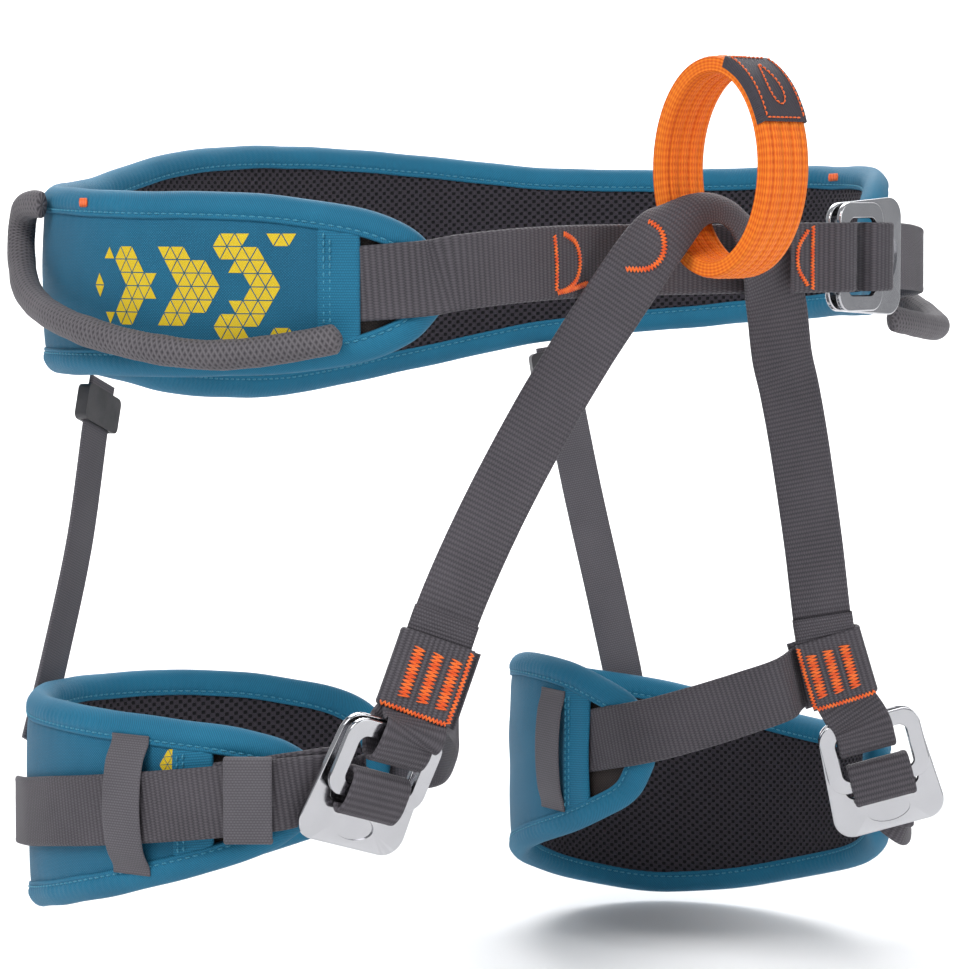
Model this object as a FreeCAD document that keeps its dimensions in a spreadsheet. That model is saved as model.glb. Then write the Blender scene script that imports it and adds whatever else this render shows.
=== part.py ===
"""Climbing harness: waist belt, two leg loops, belay loop, three buckles and the webbing between them.

Millimetres. +Z is up, -Y is the wearer's front and +X is the wearer's left. The origin is the
centre of the waist opening, at the height of the belt's middle. "right" and "left" are the wearer's.
"""
import FreeCAD, Part
import Sketcher
import math
import os

from FreeCAD import Matrix, Placement, Vector

# ---------------------------------------------------------------- driving dimensions
DIMENSIONS = {
    "belt_half_width": 172.0,        # mid surface of the waist pad, half its size across the wearer
    "belt_half_depth": 128.0,        # and half its size from front to back
    "belt_end_angle": 141.0,         # where the pad's tips end, from the back centre
    "belt_left_lift": 13.0,          # how much higher the belt lies on the wearer's left
    "pad_thickness": 9.2,
    "liner_thickness": 1.1,
    "shell_thickness": 0.8,
    "binding_width": 4.0,            # how far the edge binding reaches in from the outline
    "layer_gap": 0.1,
    "webbing_width": 25.0,
    "webbing_thickness": 1.8,
    "leg_webbing_width": 24.0,
    "tie_in_width": 22.0,            # the same webbing, gathered where it passes through the belay loop
    "elastic_width": 17.0,
    "elastic_thickness": 1.6,
    "keeper_width": 15.0,
    "keeper_thickness": 1.0,
    "loop_height": 77.0,             # belay loop, outside
    "loop_depth": 58.0,
    "loop_width": 19.6,
    "loop_thickness": 6.0,
    "patch_thickness": 0.8,
    "gear_loop_radius": 5.0,
    "frame_length": 46.0,            # buckle frame: the larger plate
    "frame_top_width": 39.0,
    "frame_foot_width": 45.0,
    "frame_thickness": 2.2,
    "frame_corner": 7.5,
    "window_width": 28.4,
    "window_low": -8.0,
    "window_high": 17.0,
    "ring_width": 40.0,              # buckle ring: the smaller plate in front of it
    "ring_low": -5.0,
    "ring_high": 22.5,
    "ring_thickness": 2.0,
    "ring_corner": 6.5,
    "ring_window_low": -0.2,
    "ring_window_high": 16.5,
    "ring_standoff": 3.5,            # from the frame's mid plane to the ring's back
    "recess_length": 17.0,
    "recess_width": 9.0,
    "recess_depth": 0.6,
    "recess_centre": -15.6,
    "tab_width": 29.0,
    "tab_length": 27.0,
    "tab_thickness": 8.0,
    "tab_slot_width": 25.4,
    "tab_slot_thickness": 3.6,
    "lock_width": 24.0,              # ladder lock on each rear elastic
    "lock_length": 14.0,
    "lock_thickness": 5.0,
    "lock_slot_width": 18.6,
    "lock_slot_length": 4.2,
}

doc = FreeCAD.newDocument("climbing_harness")
sheet = doc.addObject("Spreadsheet::Sheet", "dims")
for row, (alias, number) in enumerate(DIMENSIONS.items(), start=1):
    sheet.set(f"A{row}", alias)
    sheet.set(f"B{row}", str(number))
    sheet.setAlias(f"B{row}", alias)
doc.recompute()

parts = []


def size(alias):
    """A driving dimension, read from the spreadsheet."""
    return float(sheet.get(alias))


def keep(thing):
    """Adds a document object to the list of sub-parts."""
    parts.append(thing)
    return thing


def solid_feature(label, shape):
    """A sub-part whose shape is lofted or swept along a route in space."""
    feature = doc.addObject("Part::Feature", label)
    feature.Shape = shape
    feature.Label = label
    feature.Placement = Placement()
    return keep(feature)


# ---------------------------------------------------------------- curves and frames
def along(where, points):
    """A smooth curve through hand-set (position, value) points, held flat past the two ends."""
    if where <= points[0][0]:
        return points[0][1]
    if where >= points[-1][0]:
        return points[-1][1]
    last = len(points) - 1
    low = max(i for i in range(last) if points[i][0] <= where)
    span = points[low + 1][0] - points[low][0]
    share = (where - points[low][0]) / span

    def slope(i):
        before, after = points[max(i - 1, 0)], points[min(i + 1, last)]
        return (after[1] - before[1]) / (after[0] - before[0])

    start, end = points[low][1], points[low + 1][1]
    bend = share * share * (3 - 2 * share)
    ease_in = share * (1 - share) ** 2 * slope(low) * span
    ease_out = share * share * (share - 1) * slope(low + 1) * span
    return start + (end - start) * bend + ease_in + ease_out


def spread(first, last, step):
    """Evenly spaced positions from first to last, about a step apart."""
    count = max(2, int(round(abs(last - first) / step)))
    return [first + (last - first) * i / count for i in range(count + 1)]


def axes_placement(centre, up, face):
    """Local Y along up and local Z out of the face."""
    y_axis = Vector(*up).normalize()
    x_axis = y_axis.cross(Vector(*face)).normalize()
    z_axis = x_axis.cross(y_axis)
    turn = Matrix(x_axis.x, y_axis.x, z_axis.x, 0, x_axis.y, y_axis.y, z_axis.y, 0,
                  x_axis.z, y_axis.z, z_axis.z, 0, 0, 0, 0, 1)
    return Placement(Vector(*centre), FreeCAD.Rotation(turn))


def section(centre, across, out, half_width, half_thickness):
    """A rectangular wire round the centre."""
    corners = [centre + across * half_width * side + out * half_thickness * level
               for side, level in ((-1, -1), (1, -1), (1, 1), (-1, 1))]
    return Part.makePolygon(corners + corners[:1])


def smoothed(values, steps):
    """Vectors along a smooth curve through the given ones, with so many steps from each to the next."""
    last = len(values) - 1
    result = []
    for i in range(last):
        before, start, end, after = (values[min(max(i + k, 0), last)] for k in (-1, 0, 1, 2))
        for step in range(steps):
            t = step / steps
            lean = (end - before) * (t * (1 - t) ** 2 / 2) + (after - start) * (t * t * (t - 1) / 2)
            result.append(start + (end - start) * (t * t * (3 - 2 * t)) + lean)
    return result + [values[-1]]


def ribbon(points, faces, width, thickness):
    """Flat webbing through the points, each with the direction that its face looks."""
    places = smoothed([Vector(*p) for p in points], 3)
    faces = smoothed([Vector(*f).normalize() for f in faces], 3)
    wires = []
    for i, place in enumerate(places):
        ahead, behind = places[min(i + 1, len(places) - 1)], places[max(i - 1, 0)]
        run = (ahead - behind).normalize()
        across = run.cross(faces[i]).normalize()
        out = across.cross(run)
        wires.append(section(place, across, out, width / 2, thickness / 2))
    return Part.makeLoft(wires, True, True, False)


def strap(label, points, faces, width, thickness):
    if not isinstance(faces, list):
        faces = [faces] * len(points)
    return solid_feature(label, ribbon(points, faces, width, thickness))


class Wall:
    """The curved upright wall that a pad follows: an ellipse in plan with a centre line in height."""

    def __init__(self, centre, radii, side, height_of, outline):
        self.centre = centre
        self.radii = radii
        self.side = side
        self.height_of = height_of
        self.outline = outline

    def point(self, angle, out=0.0, up=0.0):
        """angle is from the back, towards side; out is from the mid surface; up is from the centre line."""
        turn = math.radians(angle)
        x = self.side * self.radii[0] * math.sin(turn)
        y = self.radii[1] * math.cos(turn)
        normal = Vector(x / self.radii[0] ** 2, y / self.radii[1] ** 2, 0).normalize()
        base = Vector(self.centre[0] + x, self.centre[1] + y, 0)
        return base + normal * out + Vector(0, 0, self.height_of(angle, base.x, base.y) + up)

    def face(self, angle):
        flat = self.point(angle, 1.0) - self.point(angle)
        return Vector(flat.x, flat.y, 0).normalize()

    def panel(self, first, last, inner, outer, inset):
        """A layer of the pad from inner to outer, inset from its outline."""
        wires = []
        for angle in spread(first, last, 7.0):
            half = max(along(angle, self.outline) - inset, 1.5)
            corners = [self.point(angle, out, up)
                       for out, up in ((inner, -half), (outer, -half), (outer, half), (inner, half))]
            wires.append(Part.makePolygon(corners + corners[:1]))
        return Part.makeLoft(wires, True, False, False)

    def band(self, angle, outs, ups, width, thickness):
        """Elastic that stands up the wall at an angle, through the given distances out and up."""
        points = [self.point(angle, out, up) for out, up in zip(outs, ups)]
        return ribbon(points, [self.face(angle)] * len(points), width, thickness)


# ---------------------------------------------------------------- pads
def padded_wall(name, wall, slots):
    """Liner, foam, shell, edge binding and the tapes at the webbing's slots. slots are two angles."""
    first, last = wall.outline[0][0], wall.outline[-1][0]
    half = size("pad_thickness") / 2
    gap = size("layer_gap")
    rim = size("binding_width")
    rim_angle = math.degrees(rim / sum(wall.radii) * 2)
    inner_ends = first + rim_angle, last - rim_angle
    liner_out = -half + size("liner_thickness")
    shell_in = half - size("shell_thickness")
    webbing_in = shell_in - size("webbing_thickness") - 4 * gap
    solid_feature(f"{name}_liner", wall.panel(*inner_ends, -half, liner_out, rim + gap))
    solid_feature(f"{name}_foam", wall.panel(*inner_ends, liner_out + gap, webbing_in, rim + gap))
    solid_feature(f"{name}_shell", wall.panel(slots[0], slots[1], shell_in, half, rim + gap))
    whole = wall.panel(first, last, -half - gap, half + gap, 0)
    middle = wall.panel(inner_ends[0] - 0.1, inner_ends[1] + 0.1, -half - 2, half + 2, rim)
    solid_feature(f"{name}_binding", whole.cut(middle))
    tapes = [wall.panel(slot - 2.5, slot + 2.5, half + gap, half + 1.0, rim + 0.5) for slot in slots]
    solid_feature(f"{name}_slot_tapes", Part.makeCompound(tapes))


def covered(angle, slots):
    """How far inside a pad its webbing is at an angle: 0 lying over the edge, 1 between foam and shell."""
    return min(max((angle - slots[0] + 9) / 6, 0), max((slots[1] + 9 - angle) / 6, 0), 1)


def webbing_level():
    """How far out of the mid surface the hidden webbing runs, between foam and shell."""
    shell_in = size("pad_thickness") / 2 - size("shell_thickness")
    return shell_in - 2 * size("layer_gap") - size("webbing_thickness") / 2


def belt_height(angle, x, y):
    return size("belt_left_lift") * along(-angle, [(0, 0.0), (30, 0.35), (60, 0.62), (100, 0.95), (141, 1.0)])


BELT_OUTLINE = [(-141, 5), (-138, 17), (-128, 27), (-100, 31), (-60, 34.5), (-40, 38), (-20, 46), (0, 51.5),
                (18, 49), (40, 38), (60, 34.5), (95, 32), (125, 29), (136, 20), (141, 6)]
BELT_SLOTS = (-127, 129)
belt = Wall((0, 0), (size("belt_half_width"), size("belt_half_depth")), -1, belt_height, BELT_OUTLINE)

LEGS = {
    "right": {
        "side": -1, "centre": (-116, -9), "radii": (73, 80), "height": -181, "slope": (0.0, -0.14),
        "outline": [(-82, 5), (-78, 17), (-65, 27), (-30, 38), (20, 42), (70, 38), (100, 33), (130, 26),
                    (148, 19.5), (155, 14), (159, 9), (161, 5)],
        "slots": (-62, 133),
        "inner_keeper": -42, "outer_keeper": 112, "sliding_keeper": 142, "tail_end": 54,
        "front_route": [(-88, 6.8, -180), (-105, 6.8, -174), (-125, 6.8, -163), (-145, 7.4, -150),
                        (-158, 13.5, -142), (-165, 18, -139)],
        "riser": [(-48.6, -111.8, -25.2), (-64, -109.2, -47), (-83.2, -105.8, -78), (-98.9, -103.2, -108),
                  (-108.6, -101.4, -133), (-113.4, -100.5, -145)],
        "tab": ((-108.6, -101.4, -133), (0.37, -0.07, 0.925)),
        "buckle": ((-131.5, -99, -167), (0.291, -0.244, 0.925), (-0.12, -0.97, -0.22)),
        "webbing_off": (150, 6.6), "webbing_end": [(-16, -9, -6.9), (-4, -7, -6.3)],
        "tail_off": (150, 10.0), "tail_start": [(-4, -7, -4.3), (-16, -9, -4.3)],
        "elastic": [(-112.2, 91.4, -40), (-118, 88, -58), (-131, 79.5, -100), (-146, 73, -140), (-160, 66.5, -172)],
    },
    "left": {
        "side": 1, "centre": (108, -9), "radii": (66, 79), "height": -205, "slope": (-0.27, -0.13),
        "outline": [(-118, 5), (-113, 18), (-104, 26), (-85, 35), (-50, 42), (0, 46), (40, 46), (95, 33),
                    (140, 24), (156, 16), (160, 6)],
        "slots": (-98, 140),
        "inner_keeper": -84, "outer_keeper": 108, "sliding_keeper": 128, "tail_end": 52,
        "front_route": [(-121, 6.8, -173), (-132, 6.8, -168), (-145, 6.8, -162), (-156, 7.0, -157),
                        (-161, 7.5, -155)],
        "riser": [(54.0, -108.5, -29.6), (61.5, -105.5, -42), (71.2, -101.5, -64), (85.4, -95, -100),
                  (95.5, -91.5, -135.7), (100, -93, -150), (102.7, -93.9, -158.5)],
        "tab": ((100, -93, -150), (-0.3, 0.1, 0.95)),
        "buckle": ((121, -97, -192), (-0.2, 0.167, 0.966), (-0.643, -0.766, 0)),
        "webbing_off": (149, 6.8), "webbing_end": [(14, -10, -8)],
        "tail_off": (149, 10.6), "tail_start": [(18.5, -10, -6)],
        "elastic": [(119.4, 92.4, -32.8), (121, 90.5, -48), (127, 83, -95), (135, 75, -145), (141, 69.5, -185),
                    (142, 68.5, -212)],
    },
}
RISER_FACE = (-0.643, -0.766, 0)     # the risers' faces look forwards and to the wearer's right


def leg_wall(leg):
    cx, cy = leg["centre"]
    slope_x, slope_y = leg["slope"]

    def height(angle, x, y):
        return leg["height"] + slope_x * (x - cx) + slope_y * y

    return Wall(leg["centre"], leg["radii"], leg["side"], height, leg["outline"])


# ---------------------------------------------------------------- buckles
def named(body, role):
    """One of the body's own origin planes."""
    return next(o for o in body.Origin.OriginFeatures if o.Role == role)


def sketch_on(body, name):
    sketch = body.newObject("Sketcher::SketchObject", name)
    sketch.AttachmentSupport = (named(body, "XY_Plane"), "")
    sketch.MapMode = "FlatFace"
    return sketch


def add_outline(sketch, corners):
    """A closed outline of straight sides, each corner set by two distances from the origin."""
    count = len(corners)
    for i in range(count):
        start, end = Vector(*corners[i], 0), Vector(*corners[(i + 1) % count], 0)
        sketch.addGeometry(Part.LineSegment(start, end), False)
    for i in range(count):
        sketch.addConstraint(Sketcher.Constraint("Coincident", i, 2, (i + 1) % count, 1))
    for i, (x, y) in enumerate(corners):
        sketch.addConstraint(Sketcher.Constraint("DistanceX", -1, 1, i, 1, x))
        sketch.addConstraint(Sketcher.Constraint("DistanceY", -1, 1, i, 1, y))
    return count


def bound_outline(body, name, corners):
    """corners are (x, y) expressions over the sheet, as text."""
    sketch = sketch_on(body, name)
    numbers = [tuple(evaluate(part) for part in corner) for corner in corners]
    first = add_outline(sketch, numbers)
    for i, (x, y) in enumerate(corners):
        sketch.setExpression(f"Constraints[{first + 2 * i}]", x)
        sketch.setExpression(f"Constraints[{first + 2 * i + 1}]", y)
    return sketch


def evaluate(text):
    """The number that a sum or product of dims.* aliases gives."""
    total = 0.0
    for term in text.replace("- ", "+ -").split("+ "):
        value = 1.0
        for factor in term.replace(" ", "").split("*"):
            sign = -1.0 if factor.startswith("-") else 1.0
            factor = factor.lstrip("-")
            value *= sign * (size(factor[5:]) if factor.startswith("dims.") else float(factor))
        total += value
    return total


def rectangle(half_width, low, high):
    """Corner expressions of a rectangle centred on the Y axis."""
    return [(f"-1 * {half_width}", low), (half_width, low), (half_width, high), (f"-1 * {half_width}", high)]


def plate(label, outline, windows, thickness, corner, window_corner):
    """A stamped plate: padded both ways from its mid plane, cut by its windows, with rounded corners."""
    body = doc.addObject("PartDesign::Body", label)
    body.Label = label
    outline_sketch = bound_outline(body, label + "_outline", outline)
    pad = body.newObject("PartDesign::Pad", label + "_pad")
    pad.Profile = outline_sketch
    pad.Midplane = True
    pad.setExpression("Length", thickness)
    doc.recompute()
    last = round_upright(body, pad, label + "_corners", corner)
    for i, window in enumerate(windows):
        window_sketch = bound_outline(body, f"{label}_window_{i}", window)
        cut = body.newObject("PartDesign::Pocket", f"{label}_cut_{i}")
        cut.Profile = window_sketch
        cut.Type = 1                       # through all
        cut.Midplane = True
        before = last.Shape.Volume
        doc.recompute()
        if cut.Shape.Volume > before - 1.0:
            raise RuntimeError(f"{label}: window {i} cut nothing")
        last = cut
    last = round_window(body, last, label + "_window_corners", window_corner)
    return body, last


def is_upright(edge):
    ends = [v.Point for v in edge.Vertexes]
    return len(ends) == 2 and abs(ends[0].x - ends[1].x) < 1e-6 and abs(ends[0].y - ends[1].y) < 1e-6


def round_upright(body, feature, name, radius):
    names = [f"Edge{i + 1}" for i, edge in enumerate(feature.Shape.Edges) if is_upright(edge)]
    fillet = body.newObject("PartDesign::Fillet", name)
    fillet.Base = (feature, names)
    fillet.setExpression("Radius", radius)
    doc.recompute()
    return fillet


def round_window(body, feature, name, radius):
    """Rounds the upright edges inside the plate, which lie within half a window's width of its middle."""
    limit = size("window_width") / 2 + 0.5
    names = [f"Edge{i + 1}" for i, edge in enumerate(feature.Shape.Edges)
             if is_upright(edge) and abs(edge.Vertexes[0].X) < limit
             and size("recess_centre") + 5 < edge.Vertexes[0].Y < size("window_high") + 0.5]
    fillet = body.newObject("PartDesign::Fillet", name)
    fillet.Base = (feature, names)
    fillet.Radius = radius
    doc.recompute()
    return fillet


def soften(body, feature, name, radius):
    """Rounds the plate's long outer edges, on both faces."""
    names = [f"Edge{i + 1}" for i, edge in enumerate(feature.Shape.Edges)
             if abs(edge.BoundBox.ZLength) < 1e-6]
    fillet = body.newObject("PartDesign::Fillet", name)
    fillet.Base = (feature, names)
    fillet.Radius = radius
    doc.recompute()
    return fillet


def buckle_frame(label, placement):
    """The larger plate: one window for the webbing, and a foot with a shallow oval recess."""
    top, foot = "0.5 * dims.frame_top_width", "0.5 * dims.frame_foot_width"
    low, high = "-0.5 * dims.frame_length", "0.5 * dims.frame_length"
    outline = [(f"-1 * {foot}", low), (foot, low), (top, high), (f"-1 * {top}", high)]
    window = rectangle("0.5 * dims.window_width", "dims.window_low", "dims.window_high")
    body, last = plate(label, outline, [window], "dims.frame_thickness", "dims.frame_corner", 3.0)
    last = soften(body, last, label + "_edges", 0.6)
    recess = sketch_on(body, label + "_oval")
    recess.AttachmentOffset = Placement(Vector(0, 0, size("frame_thickness") / 2), FreeCAD.Rotation())
    centre = Vector(0, size("recess_centre"), 0)
    recess.addGeometry(Part.Ellipse(centre, size("recess_length") / 2, size("recess_width") / 2), False)
    cut = body.newObject("PartDesign::Pocket", label + "_recess")
    cut.Profile = recess
    cut.setExpression("Length", "dims.recess_depth")
    before = last.Shape.Volume
    doc.recompute()
    if cut.Shape.Volume > before - 1.0:
        raise RuntimeError(f"{label}: the recess cut nothing")
    body.Placement = placement
    return keep(body)


def buckle_ring(label, placement):
    """The smaller plate, in front of the frame, whose lower bar grips the adjusting webbing."""
    outline = rectangle("0.5 * dims.ring_width", "dims.ring_low", "dims.ring_high")
    window = rectangle("0.5 * dims.window_width", "dims.ring_window_low", "dims.ring_window_high")
    body, last = plate(label, outline, [window], "dims.ring_thickness", "dims.ring_corner", 3.0)
    soften(body, last, label + "_edges", 0.55)
    standoff = size("ring_standoff") + size("ring_thickness") / 2
    body.Placement = placement.multiply(Placement(Vector(0, 0, standoff), FreeCAD.Rotation()))
    return keep(body)


def in_buckle(placement, pairs):
    """Points of the buckle's middle plane, from (up, out) pairs."""
    return [placement.multVec(Vector(0, up, out)) for up, out in pairs]


def folded(label, placement, pairs, width):
    """Webbing folded round a bar of a buckle. Its face is square to its run in the buckle's middle plane."""
    points = in_buckle(placement, pairs)
    across = placement.Rotation.multVec(Vector(1, 0, 0))
    faces = []
    for i in range(len(points)):
        run = points[min(i + 1, len(points) - 1)] - points[max(i - 1, 0)]
        faces.append(across.cross(run))
    return solid_feature(label, ribbon(points, faces, width, size("webbing_thickness")))


ANCHOR_FOLD = [(25.5, 7.3), (22, 7.4), (17, 7.2), (14.6, 5.6), (13.8, 2.2), (14.6, -1.2), (17, -2.9), (22, -3.1),
               (25.5, -2.9)]
GRIP_FOLD = [(-4.0, -1.9), (0.8, -1.3), (3.8, 0.6), (4.7, 3.8), (3.0, 6.6), (-1.2, 7.2), (-6.2, 7.1),
             (-9.8, 5.2), (-9.2, 2.6)]


def buckle(name, spec, width):
    """Frame, ring, the anchoring fold round both top bars, and the grip fold round the ring's lower bar."""
    placement = axes_placement(*spec)
    buckle_frame(f"{name}_buckle_frame", placement)
    buckle_ring(f"{name}_buckle_ring", placement)
    folded(f"{name}_buckle_anchor", placement, ANCHOR_FOLD, width)
    folded(f"{name}_buckle_grip", placement, GRIP_FOLD, width)
    return placement


# ---------------------------------------------------------------- leg loops
def leg_tab(label, spec):
    """The sleeve that the leg webbing makes round its riser."""
    centre, up = spec
    block = doc.addObject("Part::Box", label + "_block")
    slot = doc.addObject("Part::Box", label + "_slot")
    for box, wide, thick, extra in ((block, "dims.tab_width", "dims.tab_thickness", ""),
                                    (slot, "dims.tab_slot_width", "dims.tab_slot_thickness", " + 2")):
        box.setExpression("Length", wide)
        box.setExpression("Width", "dims.tab_length" + extra)
        box.setExpression("Height", thick)
        box.setExpression("Placement.Base.x", f"-0.5 * {wide}")
        box.setExpression("Placement.Base.y", f"-0.5 * (dims.tab_length{extra})")
        box.setExpression("Placement.Base.z", f"-0.5 * {thick}")
    cut = doc.addObject("Part::Cut", label)
    cut.Base = block
    cut.Tool = slot
    cut.Label = label
    cut.Placement = axes_placement(centre, up, RISER_FACE)
    return keep(cut)


def leg_webbing(name, leg, wall, width):
    """From the tab round the front to the pad's inner end, through the pad, and out to the buckle."""
    level = webbing_level()
    cover = size("pad_thickness") / 2 + size("webbing_thickness") / 2 + 0.6
    inner, outer = leg["slots"]
    points, faces = [], []
    for angle, out, height in reversed(leg["front_route"]):
        place = wall.point(angle, out)
        points.append(Vector(place.x, place.y, height))
        faces.append(wall.face(angle))
    for angle in spread(inner - 14, outer + 10, 5.0):
        points.append(wall.point(angle, cover + (level - cover) * covered(angle, leg["slots"])))
        faces.append(wall.face(angle))
    points.append(wall.point(*leg["webbing_off"]))
    faces.append(wall.face(leg["webbing_off"][0]))
    behind_points, behind_faces = behind_buckle(leg, leg["webbing_end"])
    points += behind_points
    faces += behind_faces
    thickness = size("webbing_thickness")
    return solid_feature(f"{name}_leg_webbing", ribbon(points, faces, width, thickness))


def behind_buckle(leg, places):
    """Points behind the buckle's plates. There the webbing faces forwards, or outwards where it ends short."""
    placement = axes_placement(*leg["buckle"])
    face = placement.Rotation.multVec(Vector(0, 0, 1)) if len(places) > 1 else Vector(0.87, -0.4, 0)
    return [placement.multVec(Vector(*place)) for place in places], [face] * len(places)


def leg_tail(name, leg, wall, width):
    """The webbing's free end, from behind the buckle back along the outside of the pad."""
    points, faces = behind_buckle(leg, leg["tail_start"])
    points.append(wall.point(*leg["tail_off"]))
    faces.append(wall.face(leg["tail_off"][0]))
    outer = leg["slots"][1]
    for angle in spread(outer + 8, leg["tail_end"], 6.0):
        points.append(wall.point(angle, 10.2 if angle > outer - 8 else 7.6))
        faces.append(wall.face(angle))
    thickness = size("webbing_thickness")
    return solid_feature(f"{name}_leg_tail", ribbon(points, faces, width, thickness))


def leg_loop(name, leg):
    wall = leg_wall(leg)
    width = size("leg_webbing_width")
    padded_wall(f"{name}_leg", wall, leg["slots"])
    leg_webbing(name, leg, wall, width)
    leg_tail(name, leg, wall, width)
    strap(f"{name}_riser", leg["riser"], RISER_FACE, width, size("webbing_thickness"))
    leg_tab(f"{name}_leg_tab", leg["tab"])
    buckle(f"{name}_leg", leg["buckle"], width)
    keeper = size("keeper_width"), size("keeper_thickness")
    heights = (-24, -19, -13, 0, 13, 19, 24)
    for which, lift in (("inner", 1.2), ("outer", 4.4)):
        outs = [5.9, 6.1, 5.9 + lift, 6.1 + lift, 5.9 + lift, 6.1, 5.9]
        solid_feature(f"{name}_leg_{which}_keeper", wall.band(leg[which + "_keeper"], outs, heights, *keeper))
    sliding = leg["sliding_keeper"]
    front = wall.band(sliding, [12.7, 12.8, 12.7], [-14.5, 0, 14.5], *keeper)
    solid_feature(f"{name}_leg_sliding_keeper", front)
    strap(f"{name}_rear_elastic", leg["elastic"], (leg["side"] * 0.42, 0.9, 0), size("elastic_width"),
          size("elastic_thickness"))


# ---------------------------------------------------------------- waist belt
def waist_webbing():
    """From the buckle, through the whole belt, and across the front to the buckle's other side."""
    level = webbing_level()
    cover = size("pad_thickness") / 2 + size("webbing_thickness") / 2 + 0.6
    placement = axes_placement(*WAIST_BUCKLE)
    points = in_buckle(placement, [(-4, -6.9), (-16, -7.6), (-26, -9.6)])
    faces = [placement.Rotation.multVec(Vector(0, 0, 1))] * 3
    for angle in spread(-140, 140, 5.0):
        points.append(belt.point(angle, cover + (level - cover) * covered(angle, BELT_SLOTS)))
        faces.append(belt.face(angle))
    for x, y in ((-104, -113), (-82, -113.5), (-55, -108.4), (-28, -103.2), (0, -101), (25, -103), (40, -106.3),
                 (49, -111.8)):
        points.append(Vector(x, y, 7.5))
        faces.append(Vector(0, -1, 0))
    points += in_buckle(placement, [(32, 1.0)])
    faces.append(placement.Rotation.multVec(Vector(0, 0, 1)))
    return solid_feature("waist_webbing", ribbon(points, faces, size("webbing_width"), size("webbing_thickness")))


def waist_tail():
    """The webbing's free end, from behind the buckle round the outside of the belt."""
    placement = axes_placement(*WAIST_BUCKLE)
    points = in_buckle(placement, [(-4, -4.3), (-16, -4.1), (-26, -4.3)])
    faces = [placement.Rotation.multVec(Vector(0, 0, 1))] * 3
    for angle, out in ((-131, 13.5), (-122, 15.5), (-111, 13.5), (-100, 9.6), (-88, 8.0)):
        place = belt.point(angle, out)
        points.append(Vector(place.x, place.y, 7.5))
        faces.append(belt.face(angle))
    return solid_feature("waist_tail", ribbon(points, faces, size("webbing_width"), size("webbing_thickness")))


def gear_loop(label, route):
    """A covered cord, swept with large arcs through (angle, out, height) points on the belt."""
    places = []
    for angle, out, height in route:
        place = belt.point(angle, out)
        places.append(Vector(place.x, place.y, height))
    edges, start = [], places[0]
    for before, corner, after in zip(places, places[1:], places[2:]):
        into, away = (corner - before).normalize(), (after - corner).normalize()
        turn = into.getAngle(away)
        reach = 0.45 * min((corner - before).Length, (after - corner).Length)
        radius = reach / math.tan(turn / 2)
        begin, end = corner - into * reach, corner + away * reach
        middle = corner + (away - into).normalize() * (radius / math.cos(turn / 2) - radius)
        edges += [Part.LineSegment(start, begin).toShape(), Part.Arc(begin, middle, end).toShape()]
        print(label, "bend radius", round(radius, 1))
        start = end
    edges.append(Part.LineSegment(start, places[-1]).toShape())
    path = Part.Wire(edges)
    first = (places[1] - places[0]).normalize()
    profile = Part.Wire([Part.makeCircle(size("gear_loop_radius"), places[0], first)])
    tube = path.makePipeShell([profile], True, True)
    expected = math.pi * size("gear_loop_radius") ** 2 * path.Length
    print(label, "volume over section times length", round(tube.Volume / expected, 4))
    return solid_feature(label, tube)


def belay_loop():
    """An upright oval ring of stacked webbing."""
    outer = doc.addObject("Part::Ellipse", "belay_loop_outside")
    inner = doc.addObject("Part::Ellipse", "belay_loop_inside")
    for oval, inset in ((outer, "0"), (inner, "dims.loop_thickness")):
        oval.setExpression("MajorRadius", f"0.5 * dims.loop_height - {inset}")
        oval.setExpression("MinorRadius", f"0.5 * dims.loop_depth - {inset}")
    solids = []
    for oval in (outer, inner):
        block = doc.addObject("Part::Extrusion", oval.Name + "_block")
        block.Base = oval
        block.DirMode = "Custom"
        block.Dir = Vector(0, 0, 1)
        block.Solid = True
        block.Symmetric = True
        block.setExpression("LengthFwd", "dims.loop_width")
        solids.append(block)
    ring = doc.addObject("Part::Cut", "belay_loop")
    ring.Base, ring.Tool = solids
    ring.Label = "belay_loop"
    ring.Placement = axes_placement(LOOP_CENTRE, (0, 1, 0), (1, 0, 0))
    return keep(ring)


def belay_patch():
    """A thin reinforcing patch over the loop's upper front, outside."""
    clear = size("patch_thickness") / 2 + size("layer_gap")
    tall, deep = size("loop_height") / 2 + clear, size("loop_depth") / 2 + clear
    points, faces = [], []
    for angle in spread(12, 62, 8.0):
        turn = math.radians(angle)
        points.append(Vector(0, LOOP_CENTRE[1] - deep * math.sin(turn), LOOP_CENTRE[2] + tall * math.cos(turn)))
        faces.append(Vector(0, -math.sin(turn) / deep, math.cos(turn) / tall))
    return solid_feature("belay_loop_patch", ribbon(points, faces, size("loop_width"), size("patch_thickness")))


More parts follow.
